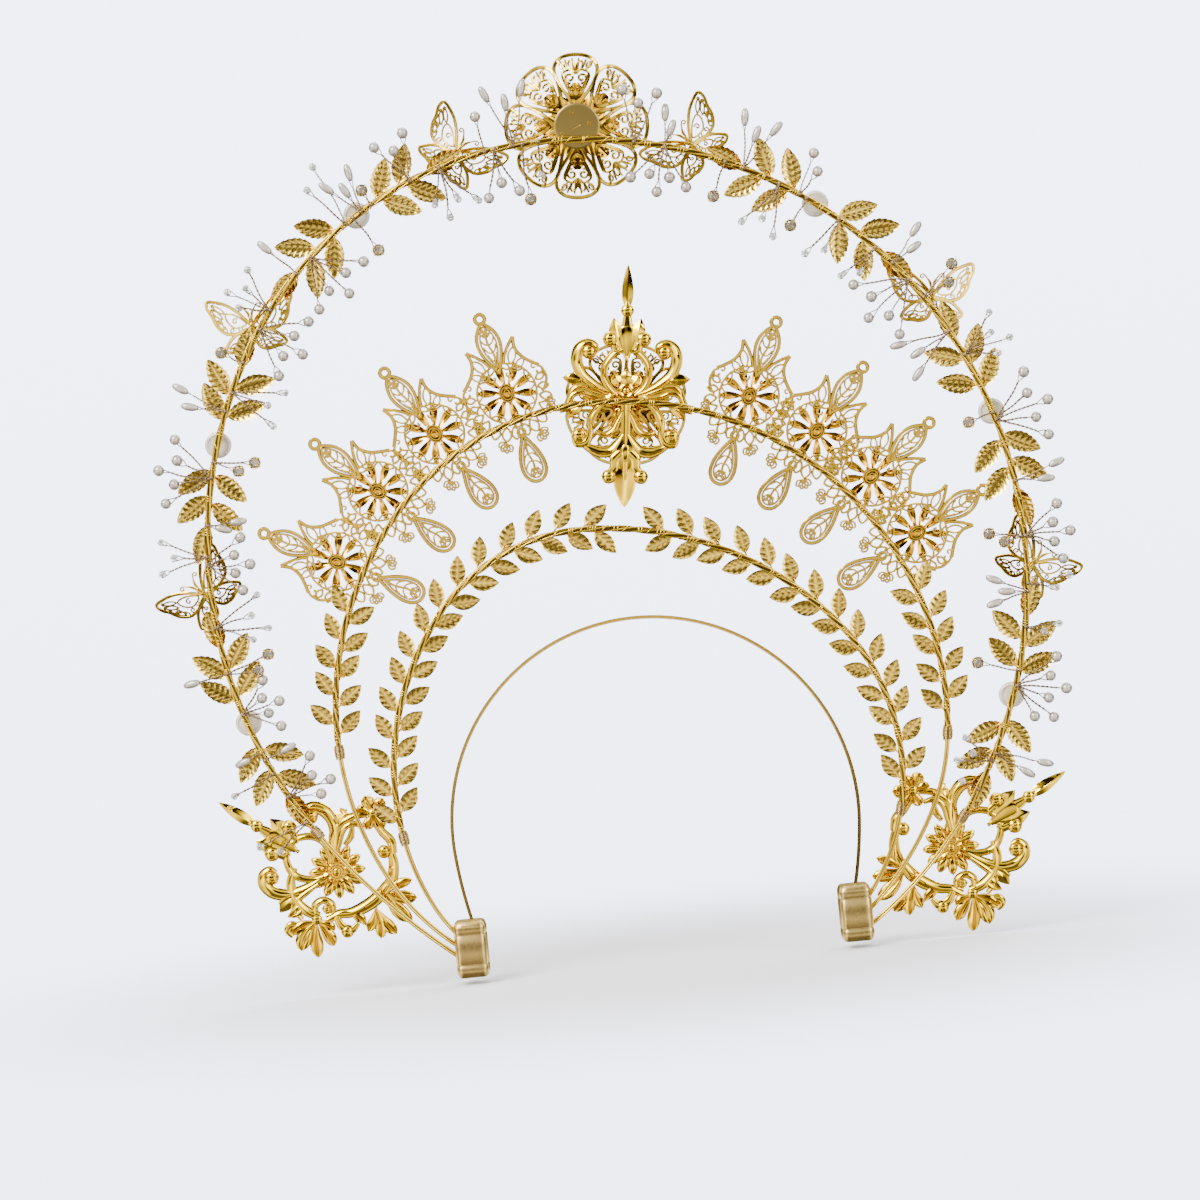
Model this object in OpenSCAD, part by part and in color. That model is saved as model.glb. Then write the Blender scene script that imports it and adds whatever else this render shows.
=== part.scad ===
// Halo crown: a headband that carries three wire halos with leaves, filigree, pearls and crystals.
// +X is the wearer's right, +Y the way the wearer faces, +Z up. The origin is the underside of
// the headband's highest point, where the crown sits on the head.

/* [Crown] */
// Height of the headband's seat over the feet of the halos
seat_h = 138; // [134:1:142]
// Lean of the three halos behind the upright
halo_lean = 8; // [4:1:12]
// Distance of the halos' feet behind the seat
halo_depth = 22; // [21:0.5:23]

/* [Headband] */
// Width of the band from front to back
band_w = 5; // [4:0.5:6]
// Thickness of the band
band_t = 1.4; // [1:0.1:1.6]
// Distance of the band's feet behind the seat
band_depth = 15; // [14.5:0.5:15.5]

/* [Wires] */
// Radius of the wrapped wire of a halo
wrap_r = 1.6; // [1.4:0.1:1.7]
// Radius of a bare leg
leg_r = 1; // [0.8:0.1:1.1]
// Radius of the binding coil at the top of a leg
coil_r = 2.1; // [2:0.1:2.3]
// Radius of a sprig's stem
stem_r = 0.3; // [0.25:0.05:0.35]

/* [Leaves] */
// Length of a leaf on the outer halo
leaf_l = 17; // [15:0.5:18]
// Width of a leaf on the outer halo
leaf_w = 7; // [5:0.5:8]
// Length of a leaf's stalk on the outer halo
leaf_stalk = 1.5; // [1:0.5:2]
// Length of a laurel leaf's stalk
laurel_stalk = 3; // [2:0.5:3.5]
// Length of a laurel leaf
laurel_l = 11.5; // [10:0.5:12]
// Width of a laurel leaf
laurel_w = 6; // [5:0.5:6.5]
// Distance between two laurel leaves on one side
laurel_step = 12; // [11.5:0.25:12.25]
// Thickness of stamped sheet
sheet_t = 0.8; // [0.6:0.1:0.9]

/* [Filigree] */
// Thickness of a pierced plate
plate_t = 1; // [0.8:0.1:1.2]
// Radius of the top flower
top_flower_r = 30; // [28:1:31]
// Radius of the flower behind the centre ornament
center_flower_r = 26; // [24:1:27]

/* [Beads] */
// Radius of a round pearl
pearl_r = 2.4; // [2:0.1:2.6]
// Radius of an ivory button pearl
cabochon_r = 5.6; // [5:0.1:6]
// Length of a rice pearl
rice_l = 7.5; // [6:0.5:8]
// Width of a rice pearl
rice_w = 3.4; // [3:0.1:3.8]
// Width of a clear bead across its flats
crystal_w = 3.2; // [2.8:0.1:3.6]
// Radius of a rhinestone
stone_r = 1.6; // [1.4:0.1:1.8]

/* [Hidden] */
$fn = 48;
SIDES = ["left", "right"];

gap = 0.3;                     // clearance between two pieces that meet
face_y = wrap_r + gap;         // back face of what lies on the front of a halo's wire
rib_t = 0.5;                   // height of a leaf's raised midrib
relief_t = 0.6;                // height of cast relief over its plate
over_y = face_y + sheet_t + rib_t + 0.4;   // back face of what lies over the leaves
bead_bore_r = stem_r + 0.15;   // hole of a bead for its stem
root_r = 0.8;                  // knot where a sprig's stems meet behind the wire
root_y = -(wrap_r + gap + root_r);

// A halo or band is [top point x and height, left rows, right rows]. A row is one arc of the bend,
// [radius, turn in degrees], from the top down. A halo is wrapped along the first two rows only.
OUTER = [[-19, 342], [[153, 60], [193, 64.5], [285, 16.5]], [[185, 60], [194.5, 65], [178, 20.5]]];
MIDDLE = [[-10, 232], [[114, 50], [142, 42.5], [136, 23], [104, 26.5]],
    [[137, 50], [144.5, 45], [93, 21], [139, 22.5]]];
INNER = [[-20, 179], [[79, 50], [120, 49.5], [110, 16.5], [65, 17]],
    [[137, 50], [98, 52], [92, 27]]];
BAND = [[0, seat_h], [[86.5, 95], [200, 12]], [[88.5, 95], [180, 14]]];
WRAPPED_ROWS = 2;
bend_step = 4;                 // degrees of turn from one ring of a bent bar to the next
wire_sides = 8;
coil_l = 6;                    // length of a binding coil

// Heading along the halo, in degrees of turn from the top: left, right, and the turn of the
// butterfly's head away from the wire
BUTTERFLIES = [[14, 19, 30], [56, 56, 38], [91, 92, 44]];
CABOCHONS = [[32, 36.5], [72, 72], [108, 108.5]];
// Leaf foot's distance from the button pearl, side of the stem, and lean from the stem
SPRAY_LEAVES = [[10, 1, 48], [12, -1, 52], [21, 1, 44], [24, -1, 48], [33, 1, 6]];
PENDANTS = [[16, 26.5], [32, 39], [47.5, 50.5], [61, 62]];
pendant_out = 12;              // flower's centre outside the middle wire
pendant_lift = 1.7;            // every other pendant lies this much further forward, over its neighbours

// Bead kinds of a sprig
PEARL = 0;
RICE = 1;
CRYSTAL = 2;
STONE = 3;
// A sprig's heading, side of the wire (1 out, -1 in), kind of bead, number and mean reach
SPRIGS = [
    [[8, -1, PEARL, 3, 17], [9.5, 1, PEARL, 1, 15], [22, 1, PEARL, 3, 17], [41.5, -1, PEARL, 5, 19],
     [55.5, -1, PEARL, 5, 18], [76, 1, PEARL, 5, 19], [87, -1, PEARL, 5, 15], [106.5, -1, PEARL, 5, 14],
     [118.5, -1, PEARL, 4, 17],
     [5, 1, RICE, 3, 21], [31, 1, RICE, 3, 14], [45, 1, RICE, 1, 17], [67.5, 1, RICE, 2, 18],
     [82, -1, RICE, 2, 10], [101, 1, RICE, 1, 16], [112, 1, RICE, 1, 9], [113, -1, RICE, 1, 11],
     [1, -1, CRYSTAL, 1, 14], [17, -1, CRYSTAL, 4, 18], [34, 1, CRYSTAL, 2, 24],
     [52, 1, CRYSTAL, 4, 16], [65, -1, CRYSTAL, 3, 19], [86, 1, CRYSTAL, 3, 17],
     [95, -1, CRYSTAL, 4, 19], [115, 1, CRYSTAL, 1, 19], [122.5, 1, CRYSTAL, 2, 20],
     [29, 1, STONE, 1, 7], [32.5, -1, STONE, 1, 17], [61, 1, STONE, 1, 10], [3.5, -1, STONE, 1, 23],
     [74, -1, STONE, 2, 14], [101, -1, STONE, 2, 16]],
    [[11.5, 1, PEARL, 3, 19], [15.5, -1, PEARL, 5, 16], [34, 1, PEARL, 2, 15], [52, -1, PEARL, 5, 20],
     [73, 1, PEARL, 5, 20], [88, 1, PEARL, 5, 16], [107, 1, PEARL, 6, 18],
     [15.5, 1, RICE, 2, 11], [26, 1, RICE, 3, 18], [49, 1, RICE, 2, 14], [60.5, -1, RICE, 3, 19],
     [81, 1, RICE, 2, 16], [95, -1, RICE, 3, 12], [116, 1, RICE, 2, 19],
     [31, -1, CRYSTAL, 3, 19], [40, -1, CRYSTAL, 2, 17], [46, -1, CRYSTAL, 2, 15],
     [64, 1, CRYSTAL, 4, 17], [94, 1, CRYSTAL, 2, 15], [99.5, 1, CRYSTAL, 2, 11],
     [117, -1, CRYSTAL, 3, 12], [121, -1, CRYSTAL, 1, 8],
     [23.5, -1, STONE, 1, 15], [35, -1, STONE, 1, 13], [55, 1, STONE, 2, 15], [72, -1, STONE, 1, 11],
     [88, -1, STONE, 2, 12], [105, -1, STONE, 1, 18]]];
fan_step = 19;                 // angle between two stems of a sprig
fan_swing = 3;                 // how far every other stem is shorter and the rest longer
fan_y = -0.9;                  // depth of a sprig's first bead
fan_y_step = -1.6;             // how much further back each of the next two lies

// Side ornaments: centre of the rosette and turn of the upper half away from the upright
SIDE_PLACES = [[-142, 43, 52], [131, 28, 60]];

// End of an arc row that starts at p = [x, height, heading]
function arc_end(p, r, turn) = [
    p[0] + r * (sin(p[2] + turn) - sin(p[2])),
    p[1] - r * (cos(p[2]) - cos(p[2] + turn)),
    p[2] + turn];
// Start of row i
function row_start(rows, i) = i == 0 ? [0, 0, 0]
    : arc_end(row_start(rows, i - 1), rows[i - 1][0], rows[i - 1][1]);
// Point of the bend at a heading
function bend_at(rows, heading, i = 0) = let (p = row_start(rows, i))
    (heading <= p[2] + rows[i][1] || i == len(rows) - 1)
    ? arc_end(p, rows[i][0], heading - p[2]) : bend_at(rows, heading, i + 1);
// Heading at a length along the bend
function heading_at(rows, length, i = 0) = let (row_l = rows[i][0] * rows[i][1] * PI / 180)
    (length <= row_l || i == len(rows) - 1)
    ? length / rows[i][0] * 180 / PI : rows[i][1] + heading_at(rows, length - row_l, i + 1);
// Length along the bend to a heading
function length_at(rows, heading, i = 0) = (heading <= rows[i][1] || i == len(rows) - 1)
    ? heading * rows[i][0] * PI / 180
    : rows[i][0] * rows[i][1] * PI / 180 + length_at(rows, heading - rows[i][1], i + 1);
// Arc rows on one side of a bend
function rows_of(bend, side) = bend[side + 1];

// The halos' own plane: x across, y to the front, z up from the feet
module halo_plane() {
    translate([0, -halo_depth, -seat_h]) rotate([halo_lean, 0, 0]) children();
}

// Mirrored to the left for side 0, with the bend's top point as origin
module from_top(bend, side) {
    translate([bend[0][0], 0, bend[0][1]]) mirror([side == 0 ? 1 : 0, 0, 0]) children();
}

// At a heading on one side of a bend: x runs down along the wire, z points outwards
module on_bend(bend, side, heading, out = 0) {
    p = bend_at(rows_of(bend, side), heading);
    from_top(bend, side) translate([p[0], 0, p[1]]) rotate([0, p[2], 0])
        translate([0, 0, out]) children();
}

// Extrudes a flat drawing (x, z) to the front from depth y
module plate(y, t) {
    translate([0, y + t, 0]) rotate([90, 0, 0]) linear_extrude(t) children();
}

// Pointed oval from the origin along +x
module vesica(l, w) {
    r = (l * l + w * w) / (4 * w);
    intersection() {
        translate([l / 2, r - w / 2]) circle(r, $fn = 180);
        translate([l / 2, w / 2 - r]) circle(r, $fn = 180);
    }
}

// Pointed oval from one point to another, with four flat sides to each edge
module blade(from, to, w) {
    d = to - from;
    edge = [for (i = [0:4]) let (t = i / 4) [norm(d) * t, w * 2 * t * (1 - t)]];
    translate(from) rotate(atan2(d[1], d[0]))
        polygon(concat(edge, [for (i = [3:-1:1]) [edge[i][0], -edge[i][1]]]));
}

// Round with flat sides
module disc(r, n = 10) {
    polygon([for (i = [0:n - 1]) r * [cos((i + 0.5) * 360 / n), sin((i + 0.5) * 360 / n)]]);
}

// Flat bar between two points
module bar(from, to, w) {
    d = to - from;
    translate(from) rotate(atan2(d[1], d[0])) translate([0, -w / 2]) square([norm(d), w]);
}

// Tapered arc of flat stock, 20 degrees to a step
module arc_band(center, r, from, to, w0, w1) {
    n = ceil(abs(to - from) / 20);
    at = [for (i = [0:n]) [from + (to - from) * i / n, (w0 + (w1 - w0) * i / n) / 2]];
    translate(center) polygon(concat(
        [for (a = at) (r + a[1]) * [cos(a[0]), sin(a[0])]],
        [for (i = [n:-1:0]) (r - at[i][1]) * [cos(at[i][0]), sin(at[i][0])]]));
}

// Drawing and its mirror image
module both() {
    children();
    mirror([1, 0]) children();
}

// Skin between rings of n points each, closed at both ends
module skin(rings, n) {
    last = len(rings) - 1;
    polyhedron(points = [for (ring = rings) for (p = ring) p], faces = concat(
        [[for (i = [0:n - 1]) i]],
        [for (k = [0:last - 1], i = [0:n - 1]) [k * n + i, (k + 1) * n + i, (k + 1) * n + (i + 1) % n]],
        [for (k = [0:last - 1], i = [0:n - 1]) [k * n + i, (k + 1) * n + (i + 1) % n, k * n + (i + 1) % n]],
        [[for (i = [n - 1:-1:0]) last * n + i]]));
}

// Whole turn of one side in degrees
function total_turn(rows) = row_start(rows, len(rows) - 1)[2] + rows[len(rows) - 1][1];
// Evenly spread values from one to another, about one step apart
function spread(from, to, step) = let (n = ceil((to - from) / step))
    [for (i = [0:n]) from + (to - from) * i / n];
// Stations along one whole bend from the left foot to the right one: [side, heading, size],
// from a list of [heading, size] for each side
function whole(left, right) = concat(
    [for (i = [len(left) - 1:-1:0]) concat(0, left[i])], [for (i = [1:len(right) - 1]) concat(1, right[i])]);
// Point of a bend at a station, pushed outwards in the bend's own plane
function station_at(bend, station, out) = let (p = bend_at(bend[station[0] + 1], station[1]),
    sign_x = station[0] == 0 ? -1 : 1)
    [bend[0][0] + sign_x * (p[0] + out * sin(p[2])), bend[0][1] + p[1] + out * cos(p[2])];

// Headings and radii down one side of a halo: wrapped wire, binding coil, bare leg
function wire_stations(rows) = let (foot = length_at(rows, row_start(rows, WRAPPED_ROWS)[2]),
    coil_from = heading_at(rows, foot - coil_l / 2),
    coil_to = heading_at(rows, foot + coil_l / 2)) concat(
    [for (h = spread(0, coil_from, bend_step)) [h, wrap_r]],
    [[coil_from, coil_r], [coil_to, coil_r]],
    [for (h = spread(coil_to, total_turn(rows), bend_step)) [h, leg_r]]);

// Wrapped halo, its binding coils and its bare legs as one bent bar
module halo_wire(bend) {
    rings = [for (st = whole(wire_stations(bend[1]), wire_stations(bend[2])))
        [for (i = [0:wire_sides - 1]) let (a = -i * 360 / wire_sides,
            q = station_at(bend, st, st[2] * cos(a))) [q[0], st[2] * sin(a), q[1]]]];
    color("gold") halo_plane() skin(rings, wire_sides);
}

module outer_wire() { halo_wire(OUTER); }
module middle_wire() { halo_wire(MIDDLE); }
module inner_wire() { halo_wire(INNER); }

// The band's own plane, leaning forward from its feet to the seat
module band_plane() {
    translate([0, -band_depth, -seat_h]) rotate([-atan(band_depth / seat_h), 0, 0]) children();
}

// Flat band from one collar over the head to the other
module headband() {
    corners = [[0, -1], [0, 1], [1, 1], [1, -1]];
    sides = [for (rows = [BAND[1], BAND[2]]) [for (h = spread(0, total_turn(rows), bend_step)) [h, band_t]]];
    rings = [for (st = whole(sides[0], sides[1])) [for (c = corners)
        let (q = station_at(BAND, st, st[2] * c[0])) [q[0], c[1] * band_w / 2, q[1]]]];
    color("gold") band_plane() skin(rings, len(corners));
}

// On the last stretch of a bend, at the middle of a socket of this length, with x down along the wire
module on_foot(bend, side, socket_l) {
    rows = rows_of(bend, side);
    end_l = length_at(rows, total_turn(rows));
    on_bend(bend, side, heading_at(rows, end_l - socket_l / 2)) children();
}

// Plain block beside the ear with sockets for one foot of the band and of each halo
module side_collar(side) {
    collar_x = [76, 90];
    collar_y = [-27, -9];
    collar_z = [-9, 15];
    socket_r = leg_r + 0.3;
    socket_l = 7;
    slot_l = 23;
    slot_clear = 0.6;
    past = 0.5;
    sign_x = side == 0 ? -1 : 1;
    color("goldenrod") difference() {
        translate([sign_x > 0 ? collar_x[0] : -collar_x[1], collar_y[0], collar_z[0] - seat_h])
            cube([collar_x[1] - collar_x[0], collar_y[1] - collar_y[0], collar_z[1] - collar_z[0]]);
        halo_plane() for (bend = [OUTER, MIDDLE, INNER]) on_foot(bend, side, socket_l)
            rotate([0, 90, 0]) translate([0, 0, -socket_l / 2]) cylinder(socket_l + past, r = socket_r);
        band_plane() on_foot(BAND, side, slot_l)
            translate([-slot_l / 2, -band_w / 2 - slot_clear, -slot_clear])
            cube([slot_l + past, band_w + 2 * slot_clear, band_t + 2 * slot_clear]);
    }
}

// Leaf on its stalk, drawn flat; rib is 1 for the whole leaf and less for its raised midrib
module leaf_blade(l, w, stalk, rib = 1) {
    translate([stalk, 0]) vesica(l * (rib < 1 ? 0.94 : 1), w * rib);
    translate([0, -0.5 * (rib < 1 ? 0.6 : 1)]) square([stalk + 1.5, rib < 1 ? 0.6 : 1]);
}

// Flat drawing placed at a heading of a bend
module flat_on(rows, heading) {
    p = bend_at(rows, heading);
    translate([p[0], p[1]]) rotate(-p[2]) children();
}

// Laurel strip that grows from a low heading's leaf up to a high one
module laurel(bend, side, from, to, first_out) {
    rows = rows_of(bend, side);
    lean = 42;
    stem_w = 1.8;
    l0 = length_at(rows, abs(from)) * sign(from);
    l1 = length_at(rows, to);
    pairs = floor((l1 - l0) / laurel_step + 0.15);
    stem_n = ceil((to - from) / 8);
    stem = [for (i = [0:stem_n]) from + (to - from) * i / stem_n];
    color("gold") halo_plane() from_top(bend, side) {
        for (rib = [1, 0.14]) plate(face_y, rib < 1 ? sheet_t + rib_t : sheet_t) {
            for (i = [0:pairs - 1], s = [-1, 1]) flat_on(rows, heading_at(rows,
                l0 + (i + (s == first_out ? 0.85 : 0.5)) * laurel_step))
                rotate(180 - s * lean) leaf_blade(laurel_l, laurel_w, laurel_stalk, rib);
            if (rib == 1) polygon(concat(
                [for (h = stem) let (p = bend_at(rows, h))
                    [p[0] + stem_w / 2 * sin(h), p[1] + stem_w / 2 * cos(h)]],
                [for (i = [stem_n:-1:0]) let (p = bend_at(rows, stem[i]))
                    [p[0] - stem_w / 2 * sin(stem[i]), p[1] - stem_w / 2 * cos(stem[i])]]));
        }
    }
}

module inner_laurel(side) {
    laurel(INNER, side, side == 0 ? -8 : 13, side == 0 ? 97 : 98, side == 0 ? 1 : -1);
}

module middle_laurel(side) {
    laurel(MIDDLE, side, side == 0 ? 66.5 : 68.5, side == 0 ? 90.5 : 92.5, -1);
}

// Spray of five leaves on a stem: odd numbers reach up from their button pearl, even ones down
module leaf_spray(side, number) {
    rows = rows_of(OUTER, side);
    center = length_at(rows, CABOCHONS[ceil(number / 2) - 1][side]);
    way = number % 2 == 1 ? -1 : 1;
    stem_w = 1.6;
    stem_n = 4;
    // The stem runs from under the button pearl to the last leaf
    stem_l = [3, 34];
    stem = [for (i = [0:stem_n])
        heading_at(rows, center + way * (stem_l[0] + (stem_l[1] - stem_l[0]) * i / stem_n))];
    color("gold") halo_plane() from_top(OUTER, side) for (rib = [1, 0.12])
        plate(face_y, rib < 1 ? sheet_t + rib_t : sheet_t) {
            for (row = SPRAY_LEAVES) flat_on(rows, heading_at(rows, center + way * row[0]))
                rotate(way > 0 ? row[1] * row[2] : 180 - row[1] * row[2])
                leaf_blade(leaf_l, leaf_w, leaf_stalk, rib);
            if (rib == 1) polygon(concat(
                [for (h = stem) let (p = bend_at(rows, h))
                    [p[0] + stem_w / 2 * sin(h), p[1] + stem_w / 2 * cos(h)]],
                [for (i = [stem_n:-1:0]) let (p = bend_at(rows, stem[i]))
                    [p[0] - stem_w / 2 * sin(stem[i]), p[1] - stem_w / 2 * cos(stem[i])]]));
        }
}

// Ivory button pearls, flat at the back, over the meeting of two sprays
module cabochons(side) {
    dome_r = cabochon_r * 1.25;
    color("ivory") halo_plane() for (row = CABOCHONS) on_bend(OUTER, side, row[side])
        translate([0, over_y, 0]) rotate([-90, 0, 0]) intersection() {
            translate([0, 0, cabochon_r * 0.9 - dome_r]) sphere(dome_r);
            cylinder(2 * dome_r, r = cabochon_r);
        }
}

// Fore and hind wing on one side of a butterfly, each pierced
module wing(l_fore, l_hind) {
    fore_at = 52;
    hind_at = 122;
    difference() {
        union() {
            rotate(90 - fore_at) vesica(l_fore, l_fore * 0.52);
            rotate(90 - hind_at) vesica(l_hind, l_hind * 0.62);
        }
        rotate(90 - fore_at) translate([l_fore * 0.34, 0]) vesica(l_fore * 0.5, l_fore * 0.24);
        rotate(90 - hind_at) translate([l_hind * 0.3, 0]) vesica(l_hind * 0.52, l_hind * 0.3);
    }
}

// Butterfly whose wings rise to the front, with a body and two antennae
module butterfly(side, number) {
    wing_rise = 14;
    body_l = 11;
    body_r = 1.2;
    antenna_l = 7;
    out = 3;
    row = BUTTERFLIES[number - 1];
    color("gold") halo_plane() on_bend(OUTER, side, row[side], out)
        translate([0, over_y + body_r, 0]) rotate([0, row[2] - 90, 0]) {
            for (s = [0, 1]) mirror([s, 0, 0]) {
                rotate([0, 0, wing_rise]) plate(-plate_t / 2, plate_t) wing(21, 15);
                rotate([0, 22, 0]) cylinder(antenna_l + body_l / 3, r = 0.4, $fn = 6);
            }
            translate([0, 0, -body_l / 2]) cylinder(body_l, r = body_r, $fn = 8);
        }
}

// Folded petals round a button, for the pendants and the side ornaments
module folded_flower(petals, r, y) {
    petal_w = 2 * r * sin(180 / petals) * 0.8;
    plate(y, 1.2) {
        disc(r * 0.58, petals);
        for (i = [0:petals - 1]) rotate(i * 360 / petals) folded_petal(r, petal_w);
    }
    plate(y, 2) for (i = [0:petals - 1]) rotate(i * 360 / petals) folded_petal(r * 0.97, petal_w * 0.3);
    plate(y, 2.6) disc(r * 0.36);
}

module folded_petal(r, w) {
    polygon([[r * 0.3, 0], [r * 0.72, -w / 2], [r, 0], [r * 0.72, w / 2]]);
}

// Filigree pendant: eye, spindle, horns, body, scalloped skirt and inner drop, pierced in seven places
module pendant_outline() {
    difference() {
        translate([0, 33]) disc(2.6);
        translate([0, 33]) disc(1.3);
    }
    difference() {
        blade([0, 10], [0, 31.5], 9);
        blade([0, 14.5], [0, 29], 5.4);
    }
    both() {
        blade([5, 6], [10, 21], 4.5);
        translate([13.5, -6]) disc(3);
        translate([15.5, -12]) disc(2.6);
        translate([7, -21.5]) disc(4.2);
    }
    difference() {
        union() {
            disc(12.4, 20);
            blade([-17, -10], [17, -10], 12);
            blade([0, -6], [0, -24], 13);
        }
        both() {
            translate([8.6, 3]) disc(2.4);
            translate([11, -8.5]) disc(2);
        }
        blade([0, -13.5], [0, -20], 4);
    }
    difference() {
        blade([0, -20], [0, -39.5], 10.3);
        blade([0, -25], [0, -37], 5.6);
    }
}

module pendant(side, number) {
    color("gold") halo_plane()
        on_bend(MIDDLE, side, PENDANTS[number - 1][side], pendant_out) {
            y = face_y + (number % 2 == 0 ? pendant_lift : 0);
            plate(y, plate_t) pendant_outline();
            folded_flower(10, 12.6, y + plate_t - 0.2);
        }
}

// Upper half of the cast ornament; k thins its strokes to the ridges of the relief
module ornament_upper(k) {
    blade([0, 36], [0, 53.5], 4.4 * k);
    translate([0, 34]) disc(2.7 * k);
    blade([0, 29], [0, 38], 3 * k);
    polygon([[-5.5 * k, 30], [-3.4 * k, 20], [0, 12], [3.4 * k, 20], [5.5 * k, 30], [2 * k, 28], [0, 31],
        [-2 * k, 28]]);
    disc(3.2 * k);
    both() {
        translate([6.3, 22.2]) disc(3.2 * k);
        arc_band([0.3, 8], 10.4, 84, -62, 2 * k, 2.6 * k);
        arc_band([13.8, 11.2], 8.4, 100, -80, 3 * k, 2.6 * k);
        translate([15.4, 16.6]) disc(3 * k);
        bar([15.6, 3], [5, -2], 2.8 * k);
        blade([18.6, 3.5], [26.5, 6.7], 4.6 * k);
        blade([0.5, 0], [9.5, -5], 4 * k);
        blade([0, 0], [5, 9], 3.6 * k);
    }
}

// Lower half, below the rosette
module ornament_lower(k) {
    bar([0, 2], [0, -30], 4 * k);
    translate([0, -26]) disc(3 * k);
    blade([0, -27.5], [0, -47.6], 8 * k);
    both() {
        arc_band([18.4, -2], 5.8, 115, -75, 2.4 * k, 2.8 * k);
        blade([20, -6], [28, -5.5], 4.4 * k);
        blade([19, -7], [26, -10.5], 3 * k);
        arc_band([16.6, -16.4], 4.4, 5, 190, 2.6 * k, 3 * k);
        translate([20.6, -18.6]) disc(3 * k);
        arc_band([2.6, -16.4], 9.9, 2, -100, 3 * k, 3.4 * k);
        bar([1, -28.5], [6.6, -33], 3.2 * k);
        translate([6.8, -35]) disc(3 * k);
        bar([12.4, -16], [18.5, -7], 2.2 * k);
    }
}

// Acanthus corner of a side ornament, with x away from the head
module acanthus_corner(k) {
    arc_band([3, -8], 12.6, 30, -82, 3 * k, 4 * k);
    blade([8, -19], [21.5, -27.6], 5.4 * k);
    blade([7, -21], [17.5, -35], 6 * k);
    blade([5.5, -21], [8.5, -38.6], 6 * k);
    blade([5, -20], [0.5, -33.4], 5.4 * k);
    arc_band([0.5, -18.5], 3.4, 40, 230, 2.2 * k, 2.8 * k);
    arc_band([-5, -25.5], 6, 60, 255, 3 * k, 2.6 * k);
    translate([-6, -29]) disc(2.8 * k);
    bar([2, -22], [-9, -21.5], 3 * k);
    blade([-7, -23], [-23, -15], 7 * k);
    blade([-17, -18], [-20.5, -33], 4.6 * k);
    blade([-19, -18], [-28, -31], 4.6 * k);
    arc_band([-14, -4], 15, 185, 262, 4.4 * k, 4 * k);
    blade([-27, -11], [-37.5, -15.5], 6 * k);
    blade([-24, -12], [-35, -26.5], 6 * k);
    translate([-28.5, 4.6]) disc(3.2 * k);
    arc_band([-22, 6], 7.6, 190, 100, 2.6 * k, 3 * k);
    translate([-22.6, 22]) disc(3.4 * k);
    for (a = [20, 75, 130, 190, 250, 305]) translate([-22.6, 22]) rotate(a)
        blade([0, 0], [9, 0], 4.6 * k);
    bar([-16, 21], [-5.5, 17.5], 2.6 * k);
    bar([-22, 20], [-23.5, 12], 3 * k);
    bar([-28.5, 6], [-28.6, -7], 3 * k);
}

// Cast plate with its relief raised on both faces
module cast_relief(y, ridge) {
    plate(y + relief_t, plate_t) children(0);
    plate(y, plate_t + 2 * relief_t) children(1);
}

module center_cartouche() {
    color("gold") halo_plane() on_bend(MIDDLE, 1, 6.2, 3) cast_relief(face_y) {
        union() {
            ornament_upper(1);
            ornament_lower(1);
        }
        union() {
            ornament_upper(0.4);
            ornament_lower(0.4);
        }
    }
}

module side_ornament(side) {
    place = SIDE_PLACES[side];
    corner_turn = place[2] - SIDE_PLACES[0][2];
    // Short post that rests against the middle halo's leg, in the corner's own drawing
    post = side == 0 ? [-27.4, -2.6] : [-27.6, 4.6];
    post_r = 0.9;
    color("gold") halo_plane() translate([place[0], 0, place[1]])
        mirror([side == 0 ? 1 : 0, 0, 0]) {
            cast_relief(over_y) {
                union() {
                    rotate(-place[2]) ornament_upper(1);
                    rotate(-corner_turn) acanthus_corner(1);
                }
                union() {
                    rotate(-place[2]) ornament_upper(0.4);
                    rotate(-corner_turn) acanthus_corner(0.4);
                }
            }
            rotate([0, corner_turn, 0]) translate([post[0], leg_r + gap, post[1]])
                rotate([-90, 0, 0]) cylinder(over_y + relief_t, r = post_r);
        }
}

module side_flower(side) {
    place = SIDE_PLACES[side];
    flower_y = over_y + plate_t + 2 * relief_t + gap;
    color("gold") halo_plane() translate([place[0], 0, place[1]])
        mirror([side == 0 ? 1 : 0, 0, 0]) translate([-4.5, 0, -2]) folded_flower(12, 12, flower_y);
}

// Cupped flower of eight pierced petals, opening to the front
module cupped_flower(r, cup_r, y) {
    wall = 0.8;
    petal_r = r * 0.32;
    translate([0, y, 0]) rotate([-90, 0, 0]) intersection() {
        rotate_extrude() intersection() {
            difference() {
                translate([0, cup_r]) circle(cup_r);
                translate([0, cup_r]) circle(cup_r - wall);
            }
            square([r + 1, cup_r]);
        }
        linear_extrude(cup_r) difference() {
            union() {
                circle(r * 0.45);
                for (i = [0:7]) rotate(i * 45) translate([r - petal_r, 0]) circle(petal_r);
                for (i = [0:7]) rotate(i * 45) bar([0, 0], [r - petal_r, 0], petal_r * 1.5);
            }
            for (i = [0:7]) rotate(i * 45) blade([r * 0.5, 0], [r * 0.9, 0], petal_r);
        }
    }
}

module center_flower() {
    flower_y = face_y + plate_t + 2 * relief_t + gap;
    color("goldenrod") halo_plane() on_bend(MIDDLE, 1, 6.2, -2)
        cupped_flower(center_flower_r, 90, flower_y);
}

module top_flower_disc() {
    color("darkgoldenrod") halo_plane() on_bend(OUTER, 1, 4.2, 5.5)
        translate([0, face_y, 0]) rotate([-90, 0, 0]) cylinder(sheet_t, r = 9.5);
}

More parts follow.
